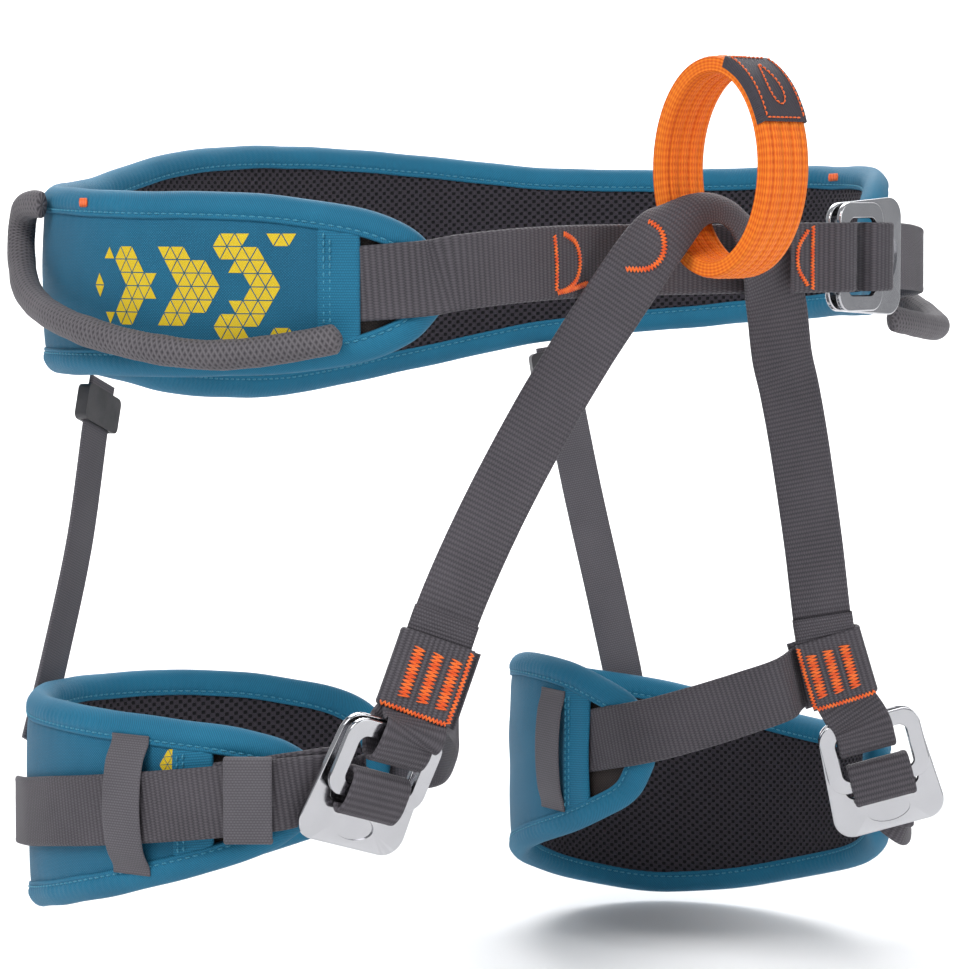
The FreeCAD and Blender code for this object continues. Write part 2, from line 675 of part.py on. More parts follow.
def ladder_lock(label, points, share):
    """A small moulded slider that the rear elastic is threaded through."""
    body = doc.addObject("PartDesign::Body", label)
    body.Label = label
    outline = bound_outline(body, label + "_outline",
                            rectangle("0.5 * dims.lock_width", "-0.5 * dims.lock_length", "0.5 * dims.lock_length"))
    pad = body.newObject("PartDesign::Pad", label + "_pad")
    pad.Profile = outline
    pad.Midplane = True
    pad.setExpression("Length", "dims.lock_thickness")
    doc.recompute()
    last = round_upright(body, pad, label + "_corners", "2.5")
    channel = body.newObject("Sketcher::SketchObject", label + "_channel")
    channel.AttachmentSupport = (named(body, "XZ_Plane"), "")
    channel.MapMode = "FlatFace"
    half_wide, half_thick = "0.5 * dims.lock_slot_width", "0.5 * dims.lock_slot_length * 0.6"
    corners = rectangle(half_wide, f"-1 * {half_thick}", half_thick)
    first = add_outline(channel, [tuple(evaluate(c) for c in corner) for corner in corners])
    for i, (x, y) in enumerate(corners):
        channel.setExpression(f"Constraints[{first + 2 * i}]", x)
        channel.setExpression(f"Constraints[{first + 2 * i + 1}]", y)
    cut = body.newObject("PartDesign::Pocket", label + "_threading")
    cut.Profile = channel
    cut.Type = 1
    cut.Midplane = True
    before = last.Shape.Volume
    doc.recompute()
    if cut.Shape.Volume > before - 1.0:
        raise RuntimeError(f"{label}: the channel cut nothing")
    top, low = Vector(*points[0]), Vector(*points[1])
    middle = top + (low - top) * share
    body.Placement = axes_placement(tuple(middle), tuple(top - low), (0.42 if middle.x > 0 else -0.42, 0.9, 0))
    return keep(body)


LOOP_CENTRE = (0, -135.5, 40)
WAIST_BUCKLE = ((87, -118, 8), (-0.99, -0.139, 0), (0.139, -0.99, 0))
TIE_IN = [(-47.8, -112.2, -23.6), (-39.8, -117.4, -9), (-30.3, -121.9, 6), (-20.5, -124.5, 17), (-8, -128, 22.5),
          (6, -129, 22.5), (20, -127, 18.5), (33, -121.5, 11), (42.5, -116.3, -1), (49.5, -112, -14),
          (53.2, -109.2, -26.6)]
TIE_IN_TURNS = [40, 38, 30, 18, 4, 0, 0, 14, 30, 38, 40]     # how far each face looks to the wearer's right
RIGHT_GEAR_LOOP = [(78, 10.4, 30), (68, 11.2, 26), (66.5, 12.3, 12), (76, 14.3, -5), (92, 16, -15), (107, 15.5, -22),
                   (119, 13.5, -24), (131, 11.4, -17)]
LEFT_GEAR_LOOP = [(-60, 10.2, 33), (-72, 13.5, 26), (-86, 20, 11), (-100, 28, -7), (-111, 31, -18),
                  (-120, 28, -23), (-129, 14, -19)]

padded_wall("waist", belt, BELT_SLOTS)
waist_webbing()
waist_tail()
buckle("waist", WAIST_BUCKLE, size("webbing_width"))
tie_in_faces = [(-math.sin(math.radians(turn)), -math.cos(math.radians(turn)), 0) for turn in TIE_IN_TURNS]
strap("tie_in_band", TIE_IN, tie_in_faces, size("tie_in_width"), size("webbing_thickness"))
gear_loop("gear_loop_right", RIGHT_GEAR_LOOP)
gear_loop("gear_loop_left", LEFT_GEAR_LOOP)
belay_loop()
belay_patch()
for leg_name, leg_spec in LEGS.items():
    leg_loop(leg_name, leg_spec)
    ladder_lock(f"ladder_lock_{leg_name}", leg_spec["elastic"], 0.58)


# ---------------------------------------------------------------- checks and files
doc.recompute()
for thing in doc.Objects:
    if "Invalid" in thing.State or "Error" in thing.State:
        raise RuntimeError(f"{thing.Label} failed to recompute: {thing.State}")
os.makedirs("parts", exist_ok=True)
for part in parts:
    shape = part.Shape
    if shape.isNull() or not shape.isValid() or shape.Volume <= 0:
        raise RuntimeError(f"{part.Label}: its shape is empty or not valid")
for part in parts:
    part.Shape.exportStep(f"parts/{part.Label}.step")
print(len(parts), "sub-parts written")
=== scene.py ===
"""Looks for the climbing harness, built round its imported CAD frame.

The frame is in metres, with +Z up, -Y the wearer's front and +X the wearer's left. Shapes are worked
out in millimetres, as the CAD is, and turned into metres when their meshes are made.
"""

import math

import bpy
import numpy as np
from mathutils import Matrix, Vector


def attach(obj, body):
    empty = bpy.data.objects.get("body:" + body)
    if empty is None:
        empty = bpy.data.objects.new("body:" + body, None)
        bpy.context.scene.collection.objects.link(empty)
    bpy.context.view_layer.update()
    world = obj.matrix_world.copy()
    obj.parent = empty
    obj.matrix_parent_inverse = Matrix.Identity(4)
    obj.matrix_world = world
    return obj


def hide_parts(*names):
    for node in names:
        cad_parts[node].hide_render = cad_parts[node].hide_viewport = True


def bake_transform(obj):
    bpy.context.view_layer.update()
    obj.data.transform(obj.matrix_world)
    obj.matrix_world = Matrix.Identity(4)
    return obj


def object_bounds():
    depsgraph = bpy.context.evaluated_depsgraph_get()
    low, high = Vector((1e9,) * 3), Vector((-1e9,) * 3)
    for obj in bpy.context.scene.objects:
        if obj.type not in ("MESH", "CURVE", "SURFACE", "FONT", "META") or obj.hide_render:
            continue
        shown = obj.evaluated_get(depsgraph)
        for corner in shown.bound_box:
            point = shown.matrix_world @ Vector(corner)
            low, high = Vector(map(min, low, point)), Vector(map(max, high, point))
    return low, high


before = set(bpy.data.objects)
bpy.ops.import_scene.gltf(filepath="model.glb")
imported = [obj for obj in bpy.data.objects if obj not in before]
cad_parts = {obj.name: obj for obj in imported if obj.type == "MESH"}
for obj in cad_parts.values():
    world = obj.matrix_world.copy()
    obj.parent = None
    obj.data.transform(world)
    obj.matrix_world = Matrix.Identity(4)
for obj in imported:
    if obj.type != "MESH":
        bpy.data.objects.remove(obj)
cad_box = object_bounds()
MM = 0.001


# ---------------------------------------------------------------- curves
def unit(v):
    v = np.asarray(v, float)
    return v / np.maximum(np.linalg.norm(v, axis=-1, keepdims=True), 1e-9)


def curve(points):
    """A smooth function through given (position, value) points, held flat past the two ends."""
    x, y = np.array(points, float).T
    slopes = np.gradient(y, x)
    slopes[1:-1] = (y[2:] - y[:-2]) / (x[2:] - x[:-2])

    def value(at):
        at = np.clip(np.asarray(at, float), x[0], x[-1])
        i = np.clip(np.searchsorted(x, at, side="right") - 1, 0, len(x) - 2)
        span = x[i + 1] - x[i]
        t = (at - x[i]) / span
        ease = t * t * (3 - 2 * t)
        lean = t * (1 - t) ** 2 * slopes[i] * span + t * t * (t - 1) * slopes[i + 1] * span
        return y[i] + (y[i + 1] - y[i]) * ease + lean

    return value


def smoothed(values, steps):
    """Vectors along a smooth curve through the given ones, with so many steps from each to the next."""
    v = np.array(values, float).reshape(len(values), -1)
    padded = np.vstack([v[:1], v, v[-1:]])
    rows = []
    for before, start, end, after in zip(padded, padded[1:], padded[2:], padded[3:]):
        t = (np.arange(steps) / steps)[:, None]
        lean = (end - before) * t * (1 - t) ** 2 / 2 + (after - start) * t * t * (t - 1) / 2
        rows.append(start + (end - start) * t * t * (3 - 2 * t) + lean)
    return np.vstack(rows + [v[-1:]])


def lengths(points):
    """How far along the line each point is."""
    return np.concatenate([[0], np.cumsum(np.linalg.norm(np.diff(points, axis=0), axis=1))])


def sample(at, positions, values):
    """Rows of values, linearly between the positions."""
    return np.stack([np.interp(at, positions, column) for column in values.T], -1)


def ripple(u, v, seed, size):
    """Slow, seeded unevenness between about -1 and 1, with waves about size long."""
    rng = np.random.default_rng(seed)
    total = 0
    for _ in range(6):
        turn, phase, stretch = rng.uniform(0, math.tau), rng.uniform(0, math.tau), rng.uniform(0.6, 1.6)
        way = u * math.cos(turn) + v * math.sin(turn)
        total = total + np.sin(way * math.tau / (size * stretch) + phase)
    return total / 3.2


# ---------------------------------------------------------------- meshes
class Quads:
    """Collects grids of points and makes one smooth mesh object of them."""

    def __init__(self):
        self.points, self.corners, self.uvs, self.count = [], [], [], 0

    def grid(self, points, uv, wrap=False, loop=False, flip=False):
        """points is (rows, columns, 3). wrap joins the last column to the first, and loop the last row."""
        rows, columns = points.shape[:2]
        last_row, last_column = rows if loop else rows - 1, columns if wrap else columns - 1
        i, j = np.meshgrid(np.arange(last_row), np.arange(last_column), indexing="ij")
        ring = [(i, j), (i + 1, j), (i + 1, j + 1), (i, j + 1)]
        if flip:
            ring.reverse()
        corners = [self.count + a % rows * columns + b % columns for a, b in ring]
        self.corners.append(np.stack(corners, -1).reshape(-1, 4))
        self.uvs.append(np.stack([uv[a, b] for a, b in ring], -2).reshape(-1, 2))
        self.points.append(points.reshape(-1, 3))
        self.count += rows * columns

    def make(self, name, material):
        points, corners = np.vstack(self.points) * MM, np.vstack(self.corners).astype(np.int32)
        mesh = bpy.data.meshes.new(name)
        mesh.vertices.add(len(points))
        mesh.vertices.foreach_set("co", points.astype(np.float32).ravel())
        mesh.loops.add(corners.size)
        mesh.loops.foreach_set("vertex_index", corners.ravel())
        mesh.polygons.add(len(corners))
        mesh.polygons.foreach_set("loop_start", np.arange(0, corners.size, 4, dtype=np.int32))
        mesh.update(calc_edges=True)
        weave = mesh.uv_layers.new(name="weave")
        weave.data.foreach_set("uv", np.vstack(self.uvs).astype(np.float32).ravel())
        mesh.polygons.foreach_set("use_smooth", np.ones(len(corners), bool))
        mesh.validate()
        mesh.materials.append(material)
        piece = bpy.data.objects.new(name, mesh)
        bpy.context.scene.collection.objects.link(piece)
        return piece


def cloth_map(along, across):
    """The two cloth coordinates of each point of a grid, from its rows' and its columns' own."""
    return np.stack(np.broadcast_arrays(along, across), -1)


def tubes(quads, paths, normals, radius, sides=6):
    """Round threads along paths, (count, points, 3), thin at both ends. normals point off the cloth."""
    count, length = paths.shape[:2]
    run = unit(np.gradient(paths, axis=1))
    side = unit(np.cross(run, normals))
    out = np.cross(side, run)
    turns = np.arange(sides) * math.tau / sides
    radii = np.full(length, radius)
    radii[[0, -1]] = radius * 0.3
    circle = np.cos(turns)[:, None] * side[:, :, None] + np.sin(turns)[:, None] * out[:, :, None]
    rings = paths[:, :, None] + circle * radii[None, :, None, None]
    along, around = np.linspace(0, 1, length)[:, None], np.linspace(0, 1, sides + 1)[None]
    for ring in rings:
        quads.grid(ring, cloth_map(along, around), wrap=True)


def stitches(quads, line, normals, pitch=3.0, share=0.72, radius=0.3, height=0.32):
    """A row of stitches along a line, each an arched thread that dips into the cloth at both ends."""
    at = lengths(line)
    starts = np.arange(pitch * 0.2, at[-1] - pitch, pitch)
    t = np.linspace(0, 1, 5)
    where = starts[:, None] + t * pitch * share
    points = sample(where.ravel(), at, line).reshape(len(starts), 5, 3)
    out = unit(sample(where.ravel(), at, normals)).reshape(len(starts), 5, 3)
    arch = (np.sin(t * math.pi) * 1.4 - 0.4) * height
    tubes(quads, points + out * arch[None, :, None], out, radius)


def finished(piece, body, slot, *nodes):
    """Puts a piece on its body, in place of the CAD nodes it stands for."""
    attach(piece, body)
    if nodes:
        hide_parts(*nodes)
    return piece


# ---------------------------------------------------------------- materials
class Graph:
    """A node material under construction, with one Principled shader."""

    def __init__(self, name, **settings):
        self.material = bpy.data.materials.new(name)
        self.material.use_nodes = True
        self.tree = self.material.node_tree
        self.shader = self.tree.nodes["Principled BSDF"]
        for key, value in settings.items():
            self.shader.inputs[key.replace("_", " ")].default_value = value

    def node(self, kind, inputs=(), **settings):
        node = self.tree.nodes.new("ShaderNode" + kind)
        for key, value in settings.items():
            setattr(node, key, value)
        for i, value in enumerate(inputs):
            if isinstance(value, bpy.types.NodeSocket):
                self.tree.links.new(value, node.inputs[i])
            elif value is not None:
                node.inputs[i].default_value = value
        return node

    def maths(self, operation, *inputs):
        return self.node("Math", inputs, operation=operation).outputs[0]

    def weave(self):
        """The two cloth coordinates, in the units of the piece's own map."""
        place = self.node("UVMap", uv_map="weave").outputs[0]
        parts = self.node("SeparateXYZ", [place]).outputs
        return parts[0], parts[1]

    def wave(self, coordinate, length, phase=0.0):
        """From 0 to 1 and back once in every length."""
        turn = self.maths("MULTIPLY_ADD", coordinate, math.tau / length, phase)
        return self.maths("MULTIPLY_ADD", self.maths("COSINE", turn), 0.5, 0.5)

    def noise(self, size, detail=3.0):
        """Unevenness about size metres across, from 0 to 1."""
        place = self.node("TexCoord").outputs["Object"]
        return self.node("TexNoise", [place, None, 1 / size, detail]).outputs[0]

    def mix(self, share, first, second):
        node = self.tree.nodes.new("ShaderNodeMix")
        node.data_type = "RGBA"
        for socket, value in zip((node.inputs[0], node.inputs[6], node.inputs[7]), (share, first, second)):
            if isinstance(value, bpy.types.NodeSocket):
                self.tree.links.new(value, socket)
            else:
                socket.default_value = value
        return node.outputs[2]

    def between(self, value, low, high, first=0.0, second=1.0):
        """value from low..high, smoothly, to first..second."""
        inputs = [value, low, high, first, second]
        return self.node("MapRange", inputs, interpolation_type="SMOOTHSTEP").outputs[0]

    def finish(self, colour, roughness, height, depth):
        """height is in units of depth metres."""
        bump = self.node("Bump")
        bump.inputs["Strength"].default_value = 1.0
        bump.inputs["Distance"].default_value = depth
        self.tree.links.new(height, bump.inputs["Height"])
        self.tree.links.new(bump.outputs[0], self.shader.inputs["Normal"])
        self.tree.links.new(colour, self.shader.inputs["Base Color"])
        self.tree.links.new(roughness, self.shader.inputs["Roughness"])
        return self.material


def rgb(*values):
    """A colour that nodes take."""
    return (*values, 1.0)


# The dark and light ends of each cloth colour: the weave's low parts take the dark one, as painted shade.
BLUE = rgb(0.003, 0.07, 0.14)
BLUE_LIGHT = rgb(0.014, 0.205, 0.35)
GREY = rgb(0.022, 0.020, 0.025)
GREY_LIGHT = rgb(0.118, 0.107, 0.122)
CHARCOAL = rgb(0.02, 0.017, 0.023)
YELLOW_DARK = rgb(0.62, 0.42, 0.01)
YELLOW = rgb(0.82, 0.62, 0.03)


def cloth(name, dark, light, height_of, sheen=0.06, depth=0.00016):
    """Woven cloth: height_of builds the weave's height, 0 to 1, from the two cloth coordinates. Its colour
    runs from dark in the weave's low parts to light on its raised threads, as painted shade.
    """
    g = Graph(name, Sheen_Weight=sheen, Sheen_Roughness=0.45, Specular_IOR_Level=0.3)
    along, across = g.weave()
    weave = height_of(g, along, across)
    paler = g.between(g.noise(0.03), 0.3, 0.75)
    fuzz = g.noise(0.0006, 2.0)
    threads = g.maths("MULTIPLY_ADD", weave, 0.68, g.maths("MULTIPLY", fuzz, 0.26))
    lit = g.maths("MULTIPLY_ADD", paler, 0.16, threads)
    # Painted shade: the weave's low parts take the dark colour and its raised threads the light one; the slow
    # noise and the fuzz add random tone.
    colour = g.mix(lit, dark, light)
    roughness = g.maths("MULTIPLY_ADD", fuzz, 0.15, 0.62)
    return g.finish(colour, roughness, g.maths("MULTIPLY_ADD", fuzz, 0.25, weave), depth)


def canvas(pitch):
    """Plain weave: raised dots on a square lattice, turned by an eighth."""
    def height(g, along, across):
        return g.maths("MULTIPLY", g.wave(g.maths("ADD", along, across), pitch),
                       g.wave(g.maths("SUBTRACT", along, across), pitch))
    return height


def twill(pitch, slope=1.0):
    """Diagonal lines."""
    def height(g, along, across):
        line = g.wave(g.maths("MULTIPLY_ADD", across, slope, along), pitch)
        thread = g.wave(g.maths("MULTIPLY_ADD", across, -slope, along), pitch * 0.8)
        return g.maths("MULTIPLY_ADD", thread, 0.3, g.maths("MULTIPLY", line, 0.7))
    return height


def ribbed(warp):
    """Webbing: along counts its ribs; fine warp threads cross each rib, and shift by half from rib to rib."""
    def height(g, along, across):
        rib = g.wave(along, 1.0)
        shift = g.maths("MULTIPLY", g.maths("FLOOR", g.maths("ADD", along, 0.5)), math.pi)
        turn = g.maths("MULTIPLY_ADD", across, math.tau / warp, shift)
        thread = g.maths("MULTIPLY_ADD", g.maths("COSINE", turn), 0.5, 0.5)
        return g.maths("MULTIPLY_ADD", rib, 0.56, g.maths("MULTIPLY", thread, 0.44))
    return height


def corded(g, along, across):
    """Sewn, stacked webbing: cords along it, crossed by shallower ribs."""
    return g.maths("MULTIPLY_ADD", g.wave(across, 1.16), 0.6, g.maths("MULTIPLY", g.wave(along, 1.0), 0.4))


def braid(g, along, across):
    """Plaited cover: along is in millimetres, and across goes from 0 to 1 round the cord."""
    right = g.wave(g.maths("MULTIPLY_ADD", across, 18.0, along), 2.0)
    left = g.wave(g.maths("MULTIPLY_ADD", across, -18.0, along), 2.0)
    return g.maths("MAXIMUM", g.maths("MULTIPLY", right, 0.9), left)


HOLE_ALONG, HOLE_ACROSS = 3.8, 3.3


def spacer_mesh():
    """Knitted mesh: staggered holes between rounded strands. The holes' pits are painted near-black and the
    knit's low parts darker, as painted shade.
    """
    g = Graph("spacer_mesh", Sheen_Weight=0.05, Sheen_Roughness=0.5, Specular_IOR_Level=0.25)
    along, across = g.weave()
    lattice = g.maths("MULTIPLY", g.maths("COSINE", g.maths("MULTIPLY", along, math.tau / HOLE_ALONG)),
                      g.maths("COSINE", g.maths("MULTIPLY", across, math.tau / HOLE_ACROSS)))
    open_part = g.between(lattice, -0.05, 0.4)
    knit = canvas(0.7)(g, along, across)
    fuzz = g.noise(0.0008, 2.0)
    strand = g.maths("MULTIPLY_ADD", knit, 0.5, g.maths("MULTIPLY", fuzz, 0.5))
    # Painted shade: the knit's low parts take the darker charcoal, and the holes' pits are painted
    # near-black.
    cloth_colour = g.mix(strand, CHARCOAL, rgb(0.068, 0.058, 0.074))
    colour = g.mix(open_part, cloth_colour, rgb(0.004, 0.004, 0.006))
    height = g.maths("SUBTRACT", g.maths("MULTIPLY", knit, 0.3), open_part)
    return g.finish(colour, g.maths("MULTIPLY_ADD", fuzz, 0.2, 0.65), height, 0.0003)


def thread_material(name, dark, light):
    """Twisted sewing thread, painted darker in the grooves of its twist as painted shade."""
    g = Graph(name, Specular_IOR_Level=0.4, Sheen_Weight=0.2)
    along, across = g.weave()
    twist = g.wave(g.maths("MULTIPLY_ADD", along, 3.0, across), 1.0)
    # Painted shade: the twist's grooves take the dark colour; the noise adds random tone.
    colour = g.mix(g.maths("MULTIPLY_ADD", twist, 0.7, g.maths("MULTIPLY", g.noise(0.004), 0.3)), dark, light)
    return g.finish(colour, g.maths("MULTIPLY_ADD", twist, 0.1, 0.45), twist, 0.00005)


def polished_aluminium():
    """Polished plate: cloudy, finely scratched, and painted brighter along its edges as a painted highlight.
    """
    g = Graph("polished_aluminium", Metallic=1.0)
    scratches = g.node("TexNoise", [g.node("TexCoord").outputs["Object"], None, 1400.0, 4.0]).outputs[0]
    cloudy = g.noise(0.012)
    # Painted highlight: convex edges, found by pointiness, get more of the paler metal colour.
    paler = g.between(g.node("NewGeometry").outputs["Pointiness"], 0.5, 0.6)
    colour = g.mix(g.maths("MULTIPLY_ADD", cloudy, 0.6, g.maths("MULTIPLY", paler, 0.4)),
                   rgb(0.50, 0.50, 0.52), rgb(0.66, 0.66, 0.68))
    roughness = g.maths("MULTIPLY_ADD", scratches, 0.10, g.maths("MULTIPLY_ADD", cloudy, 0.08, 0.07))
    return g.finish(colour, roughness, g.maths("MULTIPLY_ADD", scratches, 0.15, cloudy), 0.00006)


def moulded_plastic():
    """Dark plastic with a fine grain."""
    g = Graph("moulded_plastic", Specular_IOR_Level=0.5)
    grain = g.noise(0.0007, 4.0)
    colour = g.mix(g.between(g.noise(0.01), 0.3, 0.7), rgb(0.02, 0.02, 0.023), rgb(0.05, 0.048, 0.052))
    return g.finish(colour, g.maths("MULTIPLY_ADD", grain, 0.2, 0.35), grain, 0.00005)


def printed_ink():
    """A thin print that still shows the canvas under it: the print is painted darker in the canvas's valleys
    as painted shade.
    """
    g = Graph("printed_ink", Specular_IOR_Level=0.3)
    along, across = g.weave()
    weave = canvas(0.95)(g, along, across)
    # Painted shade: the canvas's valleys take the darker yellow; the noise adds random tone.
    share = g.maths("MULTIPLY_ADD", weave, 0.5, g.maths("MULTIPLY", g.noise(0.01), 0.5))
    colour = g.mix(share, YELLOW_DARK, YELLOW)
    return g.finish(colour, g.maths("MULTIPLY_ADD", weave, 0.1, 0.5), weave, 0.00008)


CANVAS_BLUE = cloth("canvas_blue", BLUE, BLUE_LIGHT, canvas(0.95), depth=0.00015)
EDGE_BLUE = cloth("edge_blue", BLUE, BLUE_LIGHT, twill(0.8, 0.7), depth=0.0001)
TAPE_BLUE = cloth("tape_blue", BLUE, BLUE_LIGHT, ribbed(0.8), depth=0.0001)
# The pads' foam lining, seen only in the slot openings: its dark brown is partly its own colour and partly
# painted shade inside the slots.
LINING_AND_SLOT_SHADE = cloth("lining", rgb(0.02, 0.015, 0.014), rgb(0.06, 0.045, 0.04), canvas(1.2))
MESH = spacer_mesh()
WEBBING = cloth("grey_webbing", GREY, GREY_LIGHT, ribbed(0.95), sheen=0.06, depth=0.0003)
ELASTIC = cloth("grey_elastic", rgb(0.045, 0.042, 0.05), rgb(0.15, 0.14, 0.155), ribbed(1.1), depth=0.00006)
SLEEVE = cloth("braided_sleeve", GREY, rgb(0.16, 0.148, 0.16), braid, sheen=0.08, depth=0.0003)
ORANGE_WEB = cloth("orange_webbing", rgb(0.66, 0.06, 0.001), rgb(1.0, 0.29, 0.022), corded, sheen=0.03)
PATCH = cloth("patch_cloth", rgb(0.02, 0.018, 0.024), rgb(0.09, 0.08, 0.098), twill(0.8))
ORANGE_THREAD = thread_material("orange_thread", rgb(0.75, 0.07, 0.004), rgb(1.0, 0.2, 0.02))
BLUE_THREAD = thread_material("blue_thread", rgb(0.012, 0.15, 0.26), rgb(0.05, 0.33, 0.48))
METAL = polished_aluminium()
PLASTIC = moulded_plastic()
INK = printed_ink()


# ---------------------------------------------------------------- webbing
RIB_WAIST, RIB_LEG = 2.2, 1.8        # from one rib to the next
STEPS = 24                           # along a strap, from one of its given points to the next


class Strap:
    """Flat webbing along a smooth line. Its own places are along it, across it and out of its face."""

    def __init__(self, points, faces, width, thickness, cups=None):
        line = smoothed(points, STEPS)
        self.at = lengths(line)
        self.line = line
        self.run = unit(np.gradient(line, axis=0))
        self.across = unit(np.cross(self.run, smoothed(unit(faces), STEPS)))
        self.out = np.cross(self.across, self.run)
        self.cup = smoothed(np.radians(np.zeros(len(points)) if cups is None else cups), STEPS)[:, 0]
        self.width, self.thickness = width, thickness
        self.stations = self.at[::STEPS]

    def place(self, along, across, height):
        """Points of the strap. Where it is cupped, it curls round its own middle."""
        along, across, height = np.broadcast_arrays(*(np.asarray(v, float) for v in (along, across, height)))
        base = sample(along, self.at, self.line)
        side, out = sample(along, self.at, self.across), sample(along, self.at, self.out)
        bend = np.interp(along, self.at, self.cup) / self.width
        bend = np.where(np.abs(bend) < 1e-5, 1e-5, bend)
        angle = across * bend
        sideways = (np.sin(angle) / bend)[..., None] * side
        back = ((np.cos(angle) - 1) / bend)[..., None] * out
        normal = out * np.cos(angle)[..., None] + side * np.sin(angle)[..., None]
        return base + sideways + back + height[..., None] * normal

    def normal(self, along, across):
        return unit(self.place(along, across, 1.0) - self.place(along, across, 0.0))

    def add(self, quads, first=None, last=None, rib=RIB_WAIST, depth=0.15, tidy_ends=True):
        """The webbing's surface from first to last, with its ribs and its thicker edges."""
        first = 0.0 if first is None else first
        last = self.at[-1] if last is None else last
        step = rib / 4
        rows = np.arange(math.ceil(first / step + 0.01), math.floor(last / step - 0.01) + 1) * step
        rows = np.concatenate([[first], rows, [last]])
        half = self.width / 2
        face = np.concatenate([[-half, -half + 0.5, -half + 1.3], np.linspace(-half + 2.1, half - 2.1, 9),
                               [half - 1.3, half - 0.5, half]])
        edge = np.abs(face) / half
        corner = edge ** 40
        body = self.thickness / 2 * (1 - 0.45 * corner) + np.where(edge > 0.88, 0.1, 0.0) * (1 - corner)
        grip = np.where(edge > 0.9, 0.35, 1.0) * (1 - corner)
        relief = depth * (np.abs(np.cos(rows * math.pi / rib)) - 0.6)
        top = body[None] + relief[:, None] * grip[None]
        across = np.concatenate([face, [half + 0.18], face[::-1], [-half - 0.18]])
        middle = np.zeros((len(rows), 1))
        height = np.hstack([top, middle, -top[:, ::-1], middle])
        if tidy_ends:
            height[0] *= 0.5
            height[-1] *= 0.5
            rows = np.concatenate([rows[:1], rows, rows[-1:]])
            height = np.vstack([height[:1] * 0, height, height[-1:] * 0])
        points = self.place(rows[:, None], across[None], height)
        quads.grid(points, cloth_map(rows[:, None] / rib, np.append(across, across[0])[None]), wrap=True)

    def zigzag(self, quads, start, end, width, pitch, radius):
        """A bar of zigzag stitches from start to end, both (along, across)."""
        start, end = np.array(start, float), np.array(end, float)
        span = np.linalg.norm(end - start)
        count = max(2, int(round(span / pitch * 2)))
        t = np.arange(count + 1) / count
        side = np.array([-(end - start)[1], (end - start)[0]]) / span
        swing = np.where(np.arange(count + 1) % 2, 0.5, -0.5) * width
        spots = start + (end - start) * t[:, None] + side * swing[:, None]
        self.sew(quads, spots, radius)

    def sew(self, quads, spots, radius):
        """One thread through the (along, across) spots, on the face of the strap."""
        level = self.thickness / 2 + 0.15
        t = np.linspace(0, len(spots) - 1, (len(spots) - 1) * 4 + 1)
        along, across = (np.interp(t, np.arange(len(spots)), spots[:, k]) for k in (0, 1))
        arch = level + 0.18 * np.sin(np.pi * (t % 1))
        path = self.place(along, across, arch)
        tubes(quads, path[None], self.normal(along, across)[None], radius)

    def bent_zigzag(self, quads, spots, width, pitch, radius=0.32):
        """Zigzag stitches along a bent line of (along, across) spots."""
        line = smoothed(spots, 12)
        at = lengths(line)
        count = max(2, int(round(at[-1] / pitch * 2)))
        where = np.linspace(0, at[-1], count + 1)
        middle = sample(where, at, line)
        run = unit(np.gradient(middle, axis=0))
        side = np.stack([-run[:, 1], run[:, 0]], -1)
        swing = np.where(np.arange(count + 1) % 2, 0.5, -0.5) * width
        self.sew(quads, middle + side * swing[:, None], radius)


def strap_piece(name, body, nodes, strap, material=WEBBING, slot="grey_webbing", **shape):
    """A whole strap as one piece on its body."""
    quads = Quads()
    strap.add(quads, **shape)
    return finished(quads.make(name, material), body, slot, *nodes)


# ---------------------------------------------------------------- pads
class Wall:
    """The curved upright wall that a pad follows, with places given by distance along it and height."""

    def __init__(self, centre, radii, side, height_of, outline, slots):
        self.centre, self.radii, self.side, self.height_of = np.array(centre, float), radii, side, height_of
        self.half = curve(outline)
        self.first, self.last = outline[0][0], outline[-1][0]
        self.slots = slots
        self.angles = np.linspace(self.first - 12, self.last + 12, 3000)
        self.run = lengths(self.point(self.angles)[:, :2])

    def point(self, angle, out=0.0, up=0.0):
        angle, out, up = np.broadcast_arrays(*(np.asarray(v, float) for v in (angle, out, up)))
        turn = np.radians(angle)
        x, y = self.side * self.radii[0] * np.sin(turn), self.radii[1] * np.cos(turn)
        normal = unit(np.stack([x / self.radii[0] ** 2, y / self.radii[1] ** 2, np.zeros_like(x)], -1))
        z = self.height_of(angle, self.centre[0] + x, self.centre[1] + y) + up
        return np.stack([self.centre[0] + x, self.centre[1] + y, z], -1) + normal * out[..., None]

    def face(self, angle):
        flat = self.point(angle, 1.0) - self.point(angle, 0.0)
        return unit(flat * [1, 1, 0])

    def along(self, angle):
        return np.interp(angle, self.angles, self.run)

    def angle(self, along):
        return np.interp(along, self.run, self.angles)

    def place(self, along, up, out):
        return self.point(self.angle(along), out, up)

    def outline(self):
        """The pad's edge as closed (along, up) points with rounded ends."""
        angles = np.linspace(self.first, self.last, 600)
        top = np.stack([self.along(angles), self.half(angles)], -1)
        closed = np.vstack([top, top[::-1] * [1, -1], top[:1]])
        at = lengths(closed)
        count = int(at[-1] / EDGE_STEP)
        even = sample(np.arange(count) * at[-1] / count, at, closed)
        width = int(1.9 / EDGE_STEP)
        for _ in range(3):
            even = np.mean([np.roll(even, k, axis=0) for k in range(-width, width + 1)], axis=0)
        run = unit(np.roll(even, -1, axis=0) - np.roll(even, 1, axis=0))
        return even, np.stack([run[:, 1], -run[:, 0]], -1)


